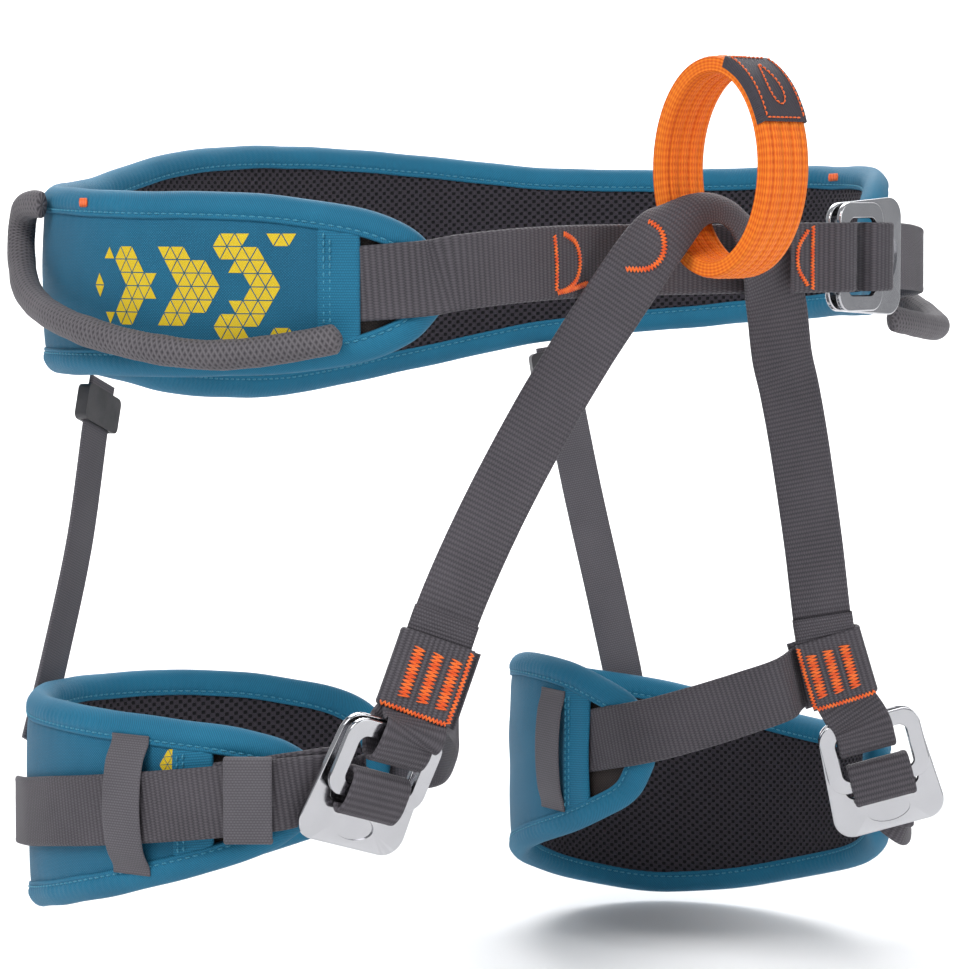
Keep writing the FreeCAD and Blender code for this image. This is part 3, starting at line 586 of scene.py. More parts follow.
PAD = 4.6                            # half the pads' thickness
RIM = 9.2                            # how far the rolled edge reaches in
EDGE_STEP = 0.75                     # from one point of a pad's edge to the next
OUTER_RIM = [(RIM + 0.3, 1.2), (RIM + 0.2, 3.4), (RIM, 4.6), (8.5, 4.8), (8.0, 4.6), (7.6, 4.3), (7.2, 4.6),
             (6.2, 4.9), (4.8, 4.85), (3.4, 4.4), (2.1, 3.6), (1.0, 2.5), (0.3, 1.3), (0.0, 0.0)]
INNER_RIM = [(0.3, -1.3), (1.0, -2.5), (2.1, -3.6), (3.4, -4.4), (4.8, -4.85), (6.2, -4.9), (7.2, -4.6),
             (7.6, -4.3), (8.0, -4.55), (8.5, -4.7), (RIM, -4.5), (RIM + 0.2, -3.6), (RIM + 0.3, -2.4)]


class Pad:
    """A padded part: core, cover, mesh lining, rolled edge, and folds where its webbing comes out."""

    def __init__(self, name, body, wall, seed):
        self.name, self.body, self.wall, self.seed = name, body, wall, seed
        self.edge, self.inward = wall.outline()
        inset = self.edge + self.inward * (RIM - 1.8)
        upper, lower = inset[inset[:, 1] > 0], inset[inset[:, 1] <= 0]
        upper, lower = upper[np.argsort(upper[:, 0])], lower[np.argsort(lower[:, 0])]
        self.top = lambda along: np.interp(along, upper[:, 0], upper[:, 1])
        self.bottom = lambda along: np.interp(along, lower[:, 0], lower[:, 1])
        self.ends = inset[:, 0].min(), inset[:, 0].max()

    def panel(self, first, last, out_of, step, rows=None):
        """A grid of cloth between two places along the wall. out_of(along, up, depth) gives its level."""
        columns = int(max(6, (last - first) / step[0]))
        along = np.linspace(first, last, columns)
        tall = np.max(self.top(along) - self.bottom(along))
        share = np.linspace(0, 1, rows or int(tall / step[1]))
        top, bottom = self.top(along)[:, None], self.bottom(along)[:, None]
        up = bottom + (top - bottom) * share
        along = np.broadcast_to(along[:, None], up.shape)
        from_end = np.minimum(along - self.ends[0], self.ends[1] - along)
        depth = np.minimum(np.minimum(top - up, up - bottom), from_end)
        points = self.wall.place(along, up, out_of(along, up, np.maximum(depth, 0)))
        return points, np.stack([along, up], -1)

    def cover_level(self, along, up, depth):
        """The outer cover: lowest at its seam, with slow waves and small puckers."""
        rise = 1.0 - np.exp(-depth / 4.5)
        pucker = np.sin(along * math.tau / 6.1) * 0.16 * np.exp(-depth / 3.0)
        return PAD - 1.1 + 1.25 * rise + 0.30 * ripple(along, up * 1.4, self.seed, 46) * rise + pucker

    def mesh_level(self, along, up, depth):
        """The inner mesh: crowned, with a pit at each hole."""
        rise = 1.0 - np.exp(-depth / 5.0)
        holes = np.cos(along * math.tau / HOLE_ALONG) * np.cos(up * math.tau / HOLE_ACROSS)
        pit = 0.7 * np.clip((holes - 0.1) / 0.6, 0, 1)
        return -(PAD - 1.2 + 1.1 * rise + 0.35 * ripple(along, up, self.seed + 1, 60) * rise) + pit

    def core(self):
        """The foam, whose lined outer face shows where the webbing comes out. Its dark brown is partly
        painted shade in the slot openings.
        """
        quads = Quads()
        first, last, step, rows = self.ends[0] + 0.5, self.ends[1] - 0.5, (3.0, 2.5), 24
        front, uv = self.panel(first, last, lambda a, u, depth: 1.5 - 0.6 * np.exp(-depth / 1.5), step, rows)
        back, _ = self.panel(first, last, lambda a, u, depth: -3.2 + 0.6 * np.exp(-depth / 1.5), step, rows)
        points = np.concatenate([front, back[:, ::-1]], axis=1)
        around = np.concatenate([uv, uv[:, ::-1], uv[:, :1]], axis=1)
        columns = points.shape[1]
        caps = [np.repeat(row.mean(axis=1, keepdims=True), columns, 1) for row in (points[:1], points[-1:])]
        points = np.concatenate([caps[0], points, caps[1]])
        around = np.concatenate([around[:1], around, around[-1:]])
        quads.grid(points, around, wrap=True)
        piece = finished(quads.make(self.name + "_padding", LINING_AND_SLOT_SHADE), self.body, "foam", self.name + "_foam")

    def cover(self):
        """The outer cloth, from one slot to the other."""
        first, last = (self.wall.along(angle) for angle in self.wall.slots)
        quads = Quads()
        points, uv = self.panel(first, last, self.cover_level, (1.5, 1.5))
        quads.grid(points, uv, flip=self.wall.side > 0)
        piece = quads.make(self.name + "_cover", CANVAS_BLUE)
        finished(piece, self.body, "blue_fabric", self.name + "_shell")

    def lining(self):
        """The mesh on the wearer's side."""
        quads = Quads()
        step = 1.0, HOLE_ACROSS / 4
        points, uv = self.panel(self.ends[0] + 0.2, self.ends[1] - 0.2, self.mesh_level, step)
        quads.grid(points, uv, flip=self.wall.side < 0)
        finished(quads.make(self.name + "_mesh", MESH), self.body, "spacer_mesh", self.name + "_liner")

    def rim(self):
        """The rolled edge, padded and pulled in along its stitches."""
        profile = np.array(OUTER_RIM + INNER_RIM)
        inset, out = profile[:, 0][None], profile[:, 1][None]
        along = np.arange(len(self.edge))[:, None] * EDGE_STEP
        puff = 0.22 * ripple(along, inset * 0.5, self.seed + 2, 17) + 0.12 * np.sin(along * math.tau / 3.0)
        out = out + np.sign(out) * puff * np.exp(-((inset - 5.5) / 2.6) ** 2)
        inset = inset + 0.25 * ripple(along, inset * 0, self.seed + 3, 40)
        flat = self.edge[:, None] + self.inward[:, None] * inset[..., None]
        points = self.wall.place(flat[..., 0], flat[..., 1], out)
        across = lengths(profile)
        around = np.append(along[:, 0], along[-1, 0] + EDGE_STEP)
        quads = Quads()
        quads.grid(points, cloth_map(around[:, None], across[None]), loop=True, flip=self.wall.side < 0)
        piece = quads.make(self.name + "_edge", EDGE_BLUE)
        finished(piece, self.body, "blue_fabric", self.name + "_binding")

    def seams(self):
        """The stitches of the rolled edge, on both faces, and of the folds at the slots."""
        quads = Quads()
        closed = np.vstack([self.edge, self.edge[:1]]) + np.vstack([self.inward, self.inward[:1]]) * 7.6
        for level in (4.42, -4.45):
            line = self.wall.place(closed[:, 0], closed[:, 1], level)
            off = self.wall.place(closed[:, 0], closed[:, 1], level * 1.5) - line
            stitches(quads, line, unit(off))
        for slot, inward in zip(self.wall.slots, (1, -1)):
            for distance in (9.5, 11.5):
                along = self.wall.along(slot) + inward * distance
                up = np.linspace(self.bottom(along) + 2.2, self.top(along) - 2.2, 40)
                line = self.wall.place(np.full(40, along), up, PAD + 0.62)
                face = self.wall.face(self.wall.angle(along))
                stitches(quads, line, np.repeat(face[None], 40, 0), pitch=2.6)
        finished(quads.make(self.name + "_seams", BLUE_THREAD), self.body, "blue_fabric")

    def folds(self):
        """The tape folded over the cover's end at each slot."""
        quads = Quads()
        profile = np.array([(13.5, 0.1), (12.6, 0.62), (9.0, 0.55), (4.0, 0.7), (1.2, 0.75), (0.2, 0.5),
                            (-0.35, -0.2), (0.3, -0.8), (2.0, -1.1)])
        for slot, inward in zip(self.wall.slots, (1, -1)):
            along = self.wall.along(slot) + inward * profile[:, 0]
            share = np.linspace(0, 1, 60)[:, None]
            up = self.bottom(along)[None] * (1 - share) + self.top(along)[None] * share
            depth = np.minimum(self.top(along)[None] - up, up - self.bottom(along)[None])
            out = self.cover_level(along[None] * np.ones_like(up), up, depth) + profile[:, 1][None]
            points = self.wall.place(np.broadcast_to(along[None], up.shape), up, out)
            uv = cloth_map(up / 0.9, profile[:, 0][None])
            quads.grid(points, uv, flip=(inward > 0) == (self.wall.side > 0))
        piece = quads.make(self.name + "_slot_folds", TAPE_BLUE)
        finished(piece, self.body, "blue_fabric", self.name + "_slot_tapes")

    def build(self):
        """Every part of the pad but its print."""
        self.core()
        self.cover()
        self.lining()
        self.rim()
        self.seams()
        self.folds()

    def chevrons(self, name, middle, size, cell):
        """A print of small triangles that together make three nested chevrons, pointing along the pad."""
        quads = Quads()
        reach, tall = size
        high = cell * math.sqrt(3) / 2
        triangle = np.array([(-cell / 2, -high / 2), (cell / 2, -high / 2), (0, high / 2)])
        rows, columns = int(tall / high), int(reach / cell) * 2
        for row in range(-rows, rows + 1):
            for column in range(-columns, columns + 1):
                centre = np.array([column * cell / 2, (row + 0.5) * high])
                corners = triangle * (1, -1 if (row + column) % 2 else 1)
                middle_of = centre + corners.mean(axis=0)
                lean = (middle_of[0] + abs(middle_of[1]) * 0.9) % (reach * 0.62)
                limit = tall * (0.55 + 0.45 * (middle_of[0] + reach) / (2 * reach))
                if lean >= reach * 0.36 or abs(middle_of[0]) >= reach or abs(middle_of[1]) >= limit:
                    continue
                spots = middle_of + (centre + corners - middle_of) * 0.88
                quad = np.stack([spots[0], spots[1], spots[2], (spots[0] + spots[2]) / 2])
                along, up = middle[0] + quad[:, 0], middle[1] + quad[:, 1]
                depth = np.minimum(self.top(along) - up, up - self.bottom(along))
                points = self.wall.place(along, up, self.cover_level(along, up, depth) + 0.12)
                uv = np.stack([along, up], -1)
                order = [0, 1, 3, 2]
                quads.grid(points[order].reshape(2, 2, 3), uv[order].reshape(2, 2, 2))
        finished(quads.make(name, INK), self.body, None)


# ---------------------------------------------------------------- where the soft parts run
BELT_SLOTS = (-127, 133)
BELT_OUTLINE = [(-141, 5), (-138, 17), (-128, 27), (-100, 31), (-60, 34.5), (-40, 38), (-20, 46), (0, 51.5),
                (18, 49), (40, 38), (60, 34.5), (95, 32), (120, 30.5), (133, 26), (140, 18.5), (144, 7)]
lift = curve([(0, 0.0), (30, 0.35), (60, 0.62), (100, 0.95), (141, 1.0)])
belt = Wall((0, 0), (172, 128), -1, lambda angle, x, y: 13 * lift(-angle), BELT_OUTLINE, BELT_SLOTS)


def leg_wall(centre, radii, side, height, slope, outline, slots):
    """A leg loop's wall, whose middle line is a tilted plane's."""
    def height_of(angle, x, y):
        return height + slope[0] * (x - centre[0]) + slope[1] * y
    return Wall(centre, radii, side, height_of, outline, slots)


right_wall = leg_wall((-116, -9), (73, 80), -1, -181, (0.0, -0.14),
                      [(-82, 5), (-78, 17), (-65, 27), (-30, 38), (20, 42), (70, 38), (100, 33), (130, 26),
                       (148, 19.5), (155, 14), (159, 9), (161, 5)], (-62, 133))
left_wall = leg_wall((108, -9), (66, 79), 1, -205, (-0.27, -0.13),
                     [(-118, 5), (-113, 18), (-104, 26), (-85, 35), (-50, 42), (0, 46), (40, 46), (95, 33),
                      (140, 24), (156, 16), (160, 6)], (-98, 140))
RISER_FACE = (-0.643, -0.766, 0)     # the way that the risers face


class Axes:
    """Local places: X across, Y up, Z out of the face."""

    def __init__(self, centre, up, face):
        self.centre = np.array(centre, float)
        self.up = unit(up)
        self.right = unit(np.cross(self.up, face))
        self.face = np.cross(self.right, self.up)

    def at(self, right, up, out):
        return self.centre + self.right * right + self.up * up + self.face * out

    def middle(self, pairs):
        """Points at (up, out) places in the middle plane."""
        return [self.at(0, up, out) for up, out in pairs]


WAIST_BUCKLE = Axes((87, -118, 8), (-0.99, -0.139, 0), (0.139, -0.99, 0))
RIGHT_BUCKLE = Axes((-131.5, -99, -167), (0.291, -0.244, 0.925), (-0.12, -0.97, -0.22))
LEFT_BUCKLE = Axes((121, -97, -192), (-0.2, 0.167, 0.966), RISER_FACE)
RIGHT_TAB = Axes((-112.3, -106, -132), (0.37, -0.07, 0.925), RISER_FACE)
LEFT_TAB = Axes((100, -93, -150), (-0.3, 0.1, 0.95), RISER_FACE)
WEBBING_THICKNESS = 1.8
WAIST_WIDTH, LEG_WIDTH, RISER_WIDTH = 25, 24, 22
COVERED = 2.7                        # the webbing's level inside the pads


def on_wall(wall, stations):
    """Points and faces at (angle, out, up) stations of a wall."""
    angle, out, up = np.array(stations, float).T
    return list(wall.point(angle, out, up)), list(wall.face(angle))


# ---------------------------------------------------------------- waist
def waist_straps():
    """The front webbing with its sewn fold through the buckle, and the tail that comes back from it."""
    out, out_faces = on_wall(belt, [(118, COVERED, 0), (126, COVERED, 0), (131.5, COVERED, 0.4),
                                    (135, 4.0, 1), (138, 5.8, 1.7), (141.5, 6.9, 2.6)])
    front = [(-104, -113.5, 4.4), (-82, -114, 6.2), (-55, -109.5, 7.2), (-28, -103.5, 7.5), (0, -101, 7.5),
             (25, -103, 7.5), (40, -106.8, 7.8), (49, -112.5, 8)]
    sewn_end = WAIST_BUCKLE.middle([(34, -1.2), (28, -1.9), (22, -2.8), (18.2, -2.9)])
    faces = out_faces + [(0, -1, 0)] * 7 + [(0.1, -1, 0)] + [WAIST_BUCKLE.face] * 4
    strap = Strap(out + front + sewn_end, faces, WAIST_WIDTH, WEBBING_THICKNESS)
    strap_piece("waist_front_webbing", "waist_belt", ["waist_webbing"], strap)

    bar = [(44, -0.6), (37, 1.2), (30, 3.4), (26, 6.2), (22, 7.3), (17, 7.3), (14.4, 5.6), (13.6, 2.2),
           (14.6, -1.4), (18, -2.6)]
    fold = buckle_strap(WAIST_BUCKLE, bar, WAIST_WIDTH)
    strap_piece("waist_anchor_fold", "waist_belt", ["waist_buckle_anchor"], fold)

    thread = Quads()
    tack = strap.stations[8] - 5
    for spots, width in (([(0, -9.5), (1.0, 0), (0.5, 9.5)], 1.7),
                         ([(5, -10), (12, -6.5), (14.5, 0), (12, 6.5), (5, 10)], 1.7),
                         ([(1, 10.2), (9, 9.4), (19, 7.6)], 1.6)):
        strap.bent_zigzag(thread, [(tack + along, across) for along, across in spots], width, 1.15)
    for spots in ([(7.0, -10), (3.0, -5), (2.0, 0), (3.0, 5), (7.0, 10)],
                  [(9.2, -11.5), (9.0, 0), (9.2, 11.5)]):
        fold.bent_zigzag(thread, spots, 1.5, 1.15)
    finished(thread.make("waist_bar_tacks", ORANGE_THREAD), "waist_belt", "orange_webbing")

    start = WAIST_BUCKLE.middle([(-2, -3.4), (-8, -4.1), (-16, -4.2), (-24, -4.4)])
    tail, faces = on_wall(belt, [(-131, 14.5, 0), (-122, 19, 0), (-111, 17, 0), (-100, 11.5, 0),
                                 (-88, 8.6, 0)])
    for place, height in zip(tail, (7, 5, 2.5, 1, 0)):
        place[2] = height
    strap = Strap(start + tail, [WAIST_BUCKLE.face] * 4 + faces, WAIST_WIDTH, WEBBING_THICKNESS)
    strap_piece("waist_webbing_tail", "waist_belt", ["waist_tail"], strap)

    start = WAIST_BUCKLE.middle([(-2, -6.6), (-12, -6.9), (-24, -8.4)])
    inside, faces = on_wall(belt, [(-137, 7.4, -5.5), (-131, 4.0, -5.5), (-124, COVERED, -5.5)])
    strap = Strap(start + inside, [WAIST_BUCKLE.face] * 3 + faces, WAIST_WIDTH, WEBBING_THICKNESS)
    strap_piece("waist_inner_webbing", "waist_belt", [], strap)


def buckle_strap(axes, pairs, width):
    """Webbing through a buckle, from (up, out) places in its middle plane."""
    points = axes.middle(pairs)
    faces = np.cross(np.gradient(np.array(points), axis=0), axes.right)
    return Strap(points, list(faces), width, WEBBING_THICKNESS)


GRIP_FOLD = [(-6.0, -2.9), (-2.5, -2.3), (1.0, -1.3), (3.9, 0.6), (4.9, 3.8), (3.2, 6.7), (-1.2, 7.4),
             (-6.0, 7.3), (-9.6, 5.6), (-10.2, 3.2), (-8.4, 2.0)]


def grips():
    """The adjusting webbing folded round each ring's lower bar."""
    for name, axes, width in (("waist", WAIST_BUCKLE, WAIST_WIDTH), ("right_leg", RIGHT_BUCKLE, LEG_WIDTH),
                              ("left_leg", LEFT_BUCKLE, LEG_WIDTH)):
        strap = buckle_strap(axes, GRIP_FOLD, width)
        strap_piece(name + "_grip_fold", name + "_ring", [name + "_buckle_grip"], strap, depth=0.2)


GEAR_LOOPS = {                       # (angle, out, height) along each cord, from behind to the front
    "right": [(77, 8.6, 27), (70.5, 11.0, 28.5), (66.5, 12.2, 20), (67.5, 12.8, 8), (77, 14.4, -6),
              (92, 16, -15), (107, 15.5, -22), (119, 13.5, -24), (131, 11.4, -17)],
    "left": [(-60, 10.2, 33), (-72, 13.5, 26), (-86, 20, 11), (-100, 28, -7), (-111, 31, -18),
             (-121, 28, -22), (-131, 14, -18.5), (-137, 7.5, -16)]}
CORD_RADIUS, CORD_SIDES, CORD_STEP, CORD_STRANDS = 5.0, 44, 0.55, 18


def gear_loops():
    """Covered cords, flattened where they go into the belt's edge, and blunt in front."""
    for side, route in GEAR_LOOPS.items():
        angle, out, up = np.array(route, float).T
        control = belt.point(angle, out)
        control[:, 2] = up
        line = spline_points("gear_loop_route", control)
        at = lengths(line)
        where = np.arange(0, at[-1], CORD_STEP)
        centre = sample(where, at, line)
        run = unit(np.gradient(centre, axis=0))
        outward = unit(centre * [1, 1, 0])
        sideways = unit(np.cross(run, outward))
        outward = np.cross(sideways, run)
        turns = np.arange(CORD_SIDES) * math.tau / CORD_SIDES
        ends = {"right": where, "left": np.minimum(where, at[-1] - where)}
        pinch = 1 - 0.62 * np.exp(-ends[side] / 9.0)
        blunt = np.sqrt(np.clip((at[-1] - where) / 2.5, 0.02, 1))
        strand = turns * CORD_STRANDS / math.tau
        plait = np.maximum(np.cos((where[:, None] + strand) * math.tau / 2),
                           np.cos((where[:, None] - strand) * math.tau / 2)) * 0.14
        radius = (CORD_RADIUS + plait) * blunt[:, None] * (1 + 0.03 * ripple(where, where, 5, 14))[:, None]
        circle = (np.cos(turns)[None, :, None] * outward[:, None] * pinch[:, None, None]
                  + np.sin(turns)[None, :, None] * sideways[:, None] * (1 - 0.1 * (1 - pinch))[:, None, None])
        points = centre[:, None] + circle * radius[..., None]
        points = np.concatenate([centre[:1, None] + (points[:1] - centre[:1, None]) * 0.05, points,
                                 centre[-1:, None] + (points[-1:] - centre[-1:, None]) * 0.05])
        rows = np.concatenate([where[:1], where, where[-1:]])
        around = np.arange(CORD_SIDES + 1) / CORD_SIDES
        quads = Quads()
        quads.grid(points, cloth_map(rows[:, None], around[None]), wrap=True)
        name = "gear_loop_" + side
        finished(quads.make(name + "_sleeve", SLEEVE), name, "grey_cord", name)


def spline_points(name, control):
    """Points of the NURBS spline that has these control points."""
    data = bpy.data.curves.new(name, "CURVE")
    data.dimensions = "3D"
    data.resolution_u = 24
    spline = data.splines.new("NURBS")
    spline.points.add(len(control) - 1)
    for point, place in zip(spline.points, control):
        point.co = (*place, 1)
    spline.order_u = 3
    spline.use_endpoint_u = True
    holder = bpy.data.objects.new(name, data)
    mesh = bpy.data.meshes.new_from_object(holder)
    points = np.array([v.co for v in mesh.vertices])
    bpy.data.objects.remove(holder)
    bpy.data.meshes.remove(mesh)
    bpy.data.curves.remove(data)
    return points


# ---------------------------------------------------------------- belay loop
LOOP_CENTRE = np.array([0, -135.5, 40], float)
LOOP_DEEP, LOOP_TALL, LOOP_THICK, LOOP_WIDE = 29.0, 38.5, 6.0, 19.6
LOOP_RIBS = 84                       # round the loop


def loop_place(turn, across, level):
    """turn is from the top towards the front, in radians; level is out from the loop's outside."""
    turn, across, level = np.broadcast_arrays(*(np.asarray(v, float) for v in (turn, across, level)))
    outside = np.stack([np.zeros_like(turn), -LOOP_DEEP * np.sin(turn), LOOP_TALL * np.cos(turn)], -1)
    normal = unit(outside / [1, LOOP_DEEP ** 2, LOOP_TALL ** 2])
    return LOOP_CENTRE + outside + normal * level[..., None] + across[..., None] * [1.0, 0, 0]


def belay_loop():
    """Stacked webbing sewn along its length: ribs across it, sewn channels along it, layers at its sides."""
    around = np.linspace(0, math.tau, 420, endpoint=False)
    half = LOOP_WIDE / 2 - 0.5
    face = np.linspace(-half, half, 41)
    channel = 0.8 * (np.abs(np.cos(face * math.pi / 4.65)) ** 0.5 - 0.7) - 0.7 * (np.abs(face) / half) ** 12
    rib = 0.12 * np.cos(around * LOOP_RIBS) * (1 - (np.abs(face[:, None]) / half) ** 8)
    outer = channel[None] + rib.T - 0.1
    inner = -LOOP_THICK - outer - 0.2
    layers = np.linspace(-0.6, -LOOP_THICK + 0.6, 13)
    bulge = LOOP_WIDE / 2 + 0.22 * np.abs(np.sin(layers * math.pi / 1.6)) - 0.05
    ones = np.ones((len(around), 1))
    across = np.hstack([ones * face, ones * bulge, ones * face[::-1], -ones * bulge])
    level = np.hstack([outer, ones * layers, inner[:, ::-1], ones * layers[::-1]])
    points = loop_place(around[:, None], across, level)
    spread = np.cumsum(np.concatenate([[0], np.hypot(np.diff(across[0]), np.diff(level[0])), [0.7]]))
    turns = np.append(around, math.tau)
    quads = Quads()
    uv = cloth_map(turns[:, None] * LOOP_RIBS / math.tau, spread[None])
    quads.grid(points, uv, wrap=True, loop=True, flip=True)
    finished(quads.make("belay_loop_webbing", ORANGE_WEB), "belay_loop", "orange_webbing", "belay_loop")

    turn = np.radians(np.linspace(15, 67, 46))
    width = LOOP_WIDE / 2 + 0.4
    across = np.concatenate([[-width - 0.1] * 2, np.linspace(-width, width, 24), [width + 0.1] * 2])
    level = np.concatenate([[-3.2, -0.6], np.full(24, 0.75), [-0.6, -3.2]])
    uneven = 0.06 * ripple(turn[:, None] * 30, across[None], 9, 9)
    points = loop_place(turn[:, None], across[None], level[None] + uneven)
    quads = Quads()
    quads.grid(points, cloth_map(turn[:, None] * 35, across[None]), flip=True)
    finished(quads.make("belay_loop_patch_cloth", PATCH), "belay_loop", "patch_fabric", "belay_loop_patch")

    thread = Quads()

    def sew(angle, across, level, pitch, share):
        line = loop_place(angle, across, level)
        stitches(thread, line, unit(loop_place(angle, across, 2) - line), pitch=pitch, share=share)

    for side in (-8.9, 8.9):
        sew(np.radians(np.linspace(17, 65, 60)), side, 0.85, 2.0, 0.8)
    for angle in (17.2, 64.8):
        sew(math.radians(angle), np.linspace(-8.9, 8.9, 30), 0.85, 2.0, 0.8)
    turn = np.linspace(0, math.tau, 60)
    drop = np.radians(26 + 31 * (0.5 - 0.5 * np.cos(turn)))
    sew(drop, 4.2 * np.sin(turn) * np.sin(turn / 2) ** 1.2, 0.9, 1.9, 0.85)
    finished(thread.make("belay_loop_threads", ORANGE_THREAD), "belay_loop", "orange_webbing")


# ---------------------------------------------------------------- tie-in webbing and risers
RIGHT_RISER = [(-117.1, -105.1, -144), (-112.3, -106, -132), (-101.1, -106, -107.4), (-83.8, -106.6, -78),
               (-64, -109.2, -47)]
TIE_IN = [(-48.3, -112, -24.4), (-39.8, -117.4, -9), (-30.3, -121.9, 6), (-20, -124.5, 19), (-9, -124.5, 28),
          (4, -123.5, 30), (17, -123, 25.5), (29, -121, 15), (38.5, -117.5, 3), (46, -113.6, -10)]
LEFT_RISER = [(53.6, -109, -28), (61.5, -105.5, -42), (71.2, -101.5, -64), (85.4, -95, -100),
              (95.5, -91.5, -135.7), (100, -93, -150), (102.7, -93.9, -158.5)]


TIE_IN_FACES = [(-0.62, -0.79, 0), (-0.62, -0.79, 0.1), (-0.5, -0.83, 0.25), (-0.35, -0.75, 0.55),
                (-0.15, -0.45, 0.88), (0.1, -0.35, 0.93), (0.1, -0.6, 0.8), (-0.1, -0.85, 0.5),
                (-0.4, -0.88, 0.25), (-0.6, -0.8, 0.05)]
TIE_IN_CUPS = [0, 5, 25, 80, 170, 200, 170, 90, 30, 8]      # how far the webbing curls, in degrees


def bending(piece, node):
    """Hides the CAD node that a piece stands for, and bakes the piece's placement into its mesh."""
    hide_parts(node)
    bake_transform(piece)


def tie_in_and_risers():
    """One length of webbing, from the right leg's tab up, through the belay loop and down to the left's."""
    count = len(RIGHT_RISER)
    faces = [RISER_FACE] * count + TIE_IN_FACES + [RISER_FACE] * len(LEFT_RISER)
    cups = [0] * count + TIE_IN_CUPS + [4, 0, 0, 0, 0, 0, 0]
    strap = Strap(RIGHT_RISER + TIE_IN + LEFT_RISER, faces, RISER_WIDTH, WEBBING_THICKNESS, cups)
    at = strap.stations
    cut = at[count], at[count + len(TIE_IN)]
    parts = []
    for name, first, last in (("right_riser_webbing", 0, cut[0]), ("tie_in_webbing", *cut),
                              ("left_riser_webbing", cut[1], at[-1])):
        quads = Quads()
        strap.add(quads, first, last, rib=RIB_LEG, tidy_ends=False)
        parts.append(quads.make(name, WEBBING))
    right, middle, left = parts
    bending(right, "right_riser")
    finished(middle, "waist_belt", "grey_webbing", "tie_in_band")
    bending(left, "left_riser")
    thread = Quads()
    arc = at[count] + 40
    spots = [(arc + 12, -6.0), (arc + 11, 0), (arc + 5, 4.5), (arc - 2, 3.5), (arc - 7, -3.0)]
    strap.bent_zigzag(thread, spots, 1.8, 1.2)
    finished(thread.make("tie_in_bar_tack", ORANGE_THREAD), "waist_belt", "orange_webbing")
    collar(strap, at[1] + 12, "right_riser_collar", "right_leg")
    collar(strap, at[-2] - 22, "left_riser_collar", "left_leg")


def collar(strap, start, name, body):
    """The riser's own end, turned back and sewn flat just above its tab."""
    quads = Quads()
    rows = np.linspace(start, start + 10, 18)
    half = strap.width / 2 + 0.3
    across = np.concatenate([np.linspace(-half, half, 13), [half + 0.3],
                             np.linspace(half, -half, 13), [-half - 0.3]])
    level = np.concatenate([np.full(13, 3.1), [1.8], np.full(13, 0.5), [1.8]])
    rounding = np.sin(np.linspace(0.12, math.pi - 0.12, 18)) ** 0.3
    points = strap.place(rows[:, None], across[None], 1.4 + (level[None] - 1.4) * rounding[:, None])
    quads.grid(points, cloth_map(rows[:, None] / 1.2, np.append(across, across[0])[None]), wrap=True)
    finished(quads.make(name, WEBBING), body, "grey_webbing")


# ---------------------------------------------------------------- leg loops
def leg_tab(side, axes, toward):
    """The sleeve round a riser. toward is 1 or -1, for the side that its webbing comes from."""
    path = [(15, -3.0), (8, -3.1), (0, -3.1), (-8, -3.0), (-11.6, -2.3), (-12.7, 0), (-11.6, 2.5), (-8, 3.2),
            (0, 3.3), (7, 3.2), (12.6, 2.9)]
    points = [axes.at(right * toward, 0, out) for right, out in path]
    faces = np.cross(np.gradient(np.array(points), axis=0), axes.up) * toward
    strap = Strap(points, list(faces), 27, 1.9)
    strap_piece(f"{side}_tab_sleeve", f"{side}_leg", [f"{side}_leg_tab"], strap, rib=RIB_LEG)
    thread = Quads()
    front = strap.stations[8]
    sign = 1 if np.dot(strap.across[0], axes.up) > 0 else -1
    for offset in (-5.4, 1.2, 7.8):
        strap.zigzag(thread, (front + offset, -8.8 * sign), (front + offset, 8.6 * sign), 4.0, 1.35, 0.36)
    end = strap.at[-1]
    for spots in ([(end - 0.9, -12.5), (end - 0.7, 0), (end - 0.9, 12.5)],
                  [(end - 1.5, -12.9), (front, -13.0), (strap.stations[6], -12.9)]):
        strap.bent_zigzag(thread, [(along, across * sign) for along, across in spots], 1.5, 1.3)
    finished(thread.make(f"{side}_tab_threads", ORANGE_THREAD), f"{side}_leg", "orange_webbing")


def leg_anchor(side, tab, buckle, shift):
    """Webbing from under the tab, round the buckle's top bars and back, to one side of the window."""
    bar = [(1.5, 23.5, 7.0), (1, 19.0, 7.8), (1, 14.0, 7.4), (1, 10.8, 6.0), (1, 9.8, 3.0), (1, 11.4, 0.0),
           (1, 15.5, -2.4), (1.5, 20.0, -3.0)]
    middle = [buckle.at(shift * share, up, out) for share, up, out in bar]
    points = [tab.at(0, -6, 0.8), tab.at(0, -12, 1.2)] + middle + [tab.at(0, -12, -1.4), tab.at(0, -4, -1.4)]
    between = unit(tab.right + buckle.right)
    rights = np.array([tab.right, tab.right, between] + [buckle.right] * 6 + [between, tab.right, tab.right])
    faces = np.cross(np.gradient(np.array(points), axis=0), rights)
    strap = Strap(points, list(faces), RISER_WIDTH, WEBBING_THICKNESS)
    strap_piece(f"{side}_leg_anchor_fold", f"{side}_leg", [f"{side}_leg_buckle_anchor"], strap, rib=RIB_LEG)


def leg_strap(side, part, points, faces, *nodes):
    """A length of one leg loop's own webbing."""
    strap = Strap(points, faces, LEG_WIDTH, WEBBING_THICKNESS)
    strap_piece(f"{side}_leg_{part}", f"{side}_leg", nodes, strap, rib=RIB_LEG)


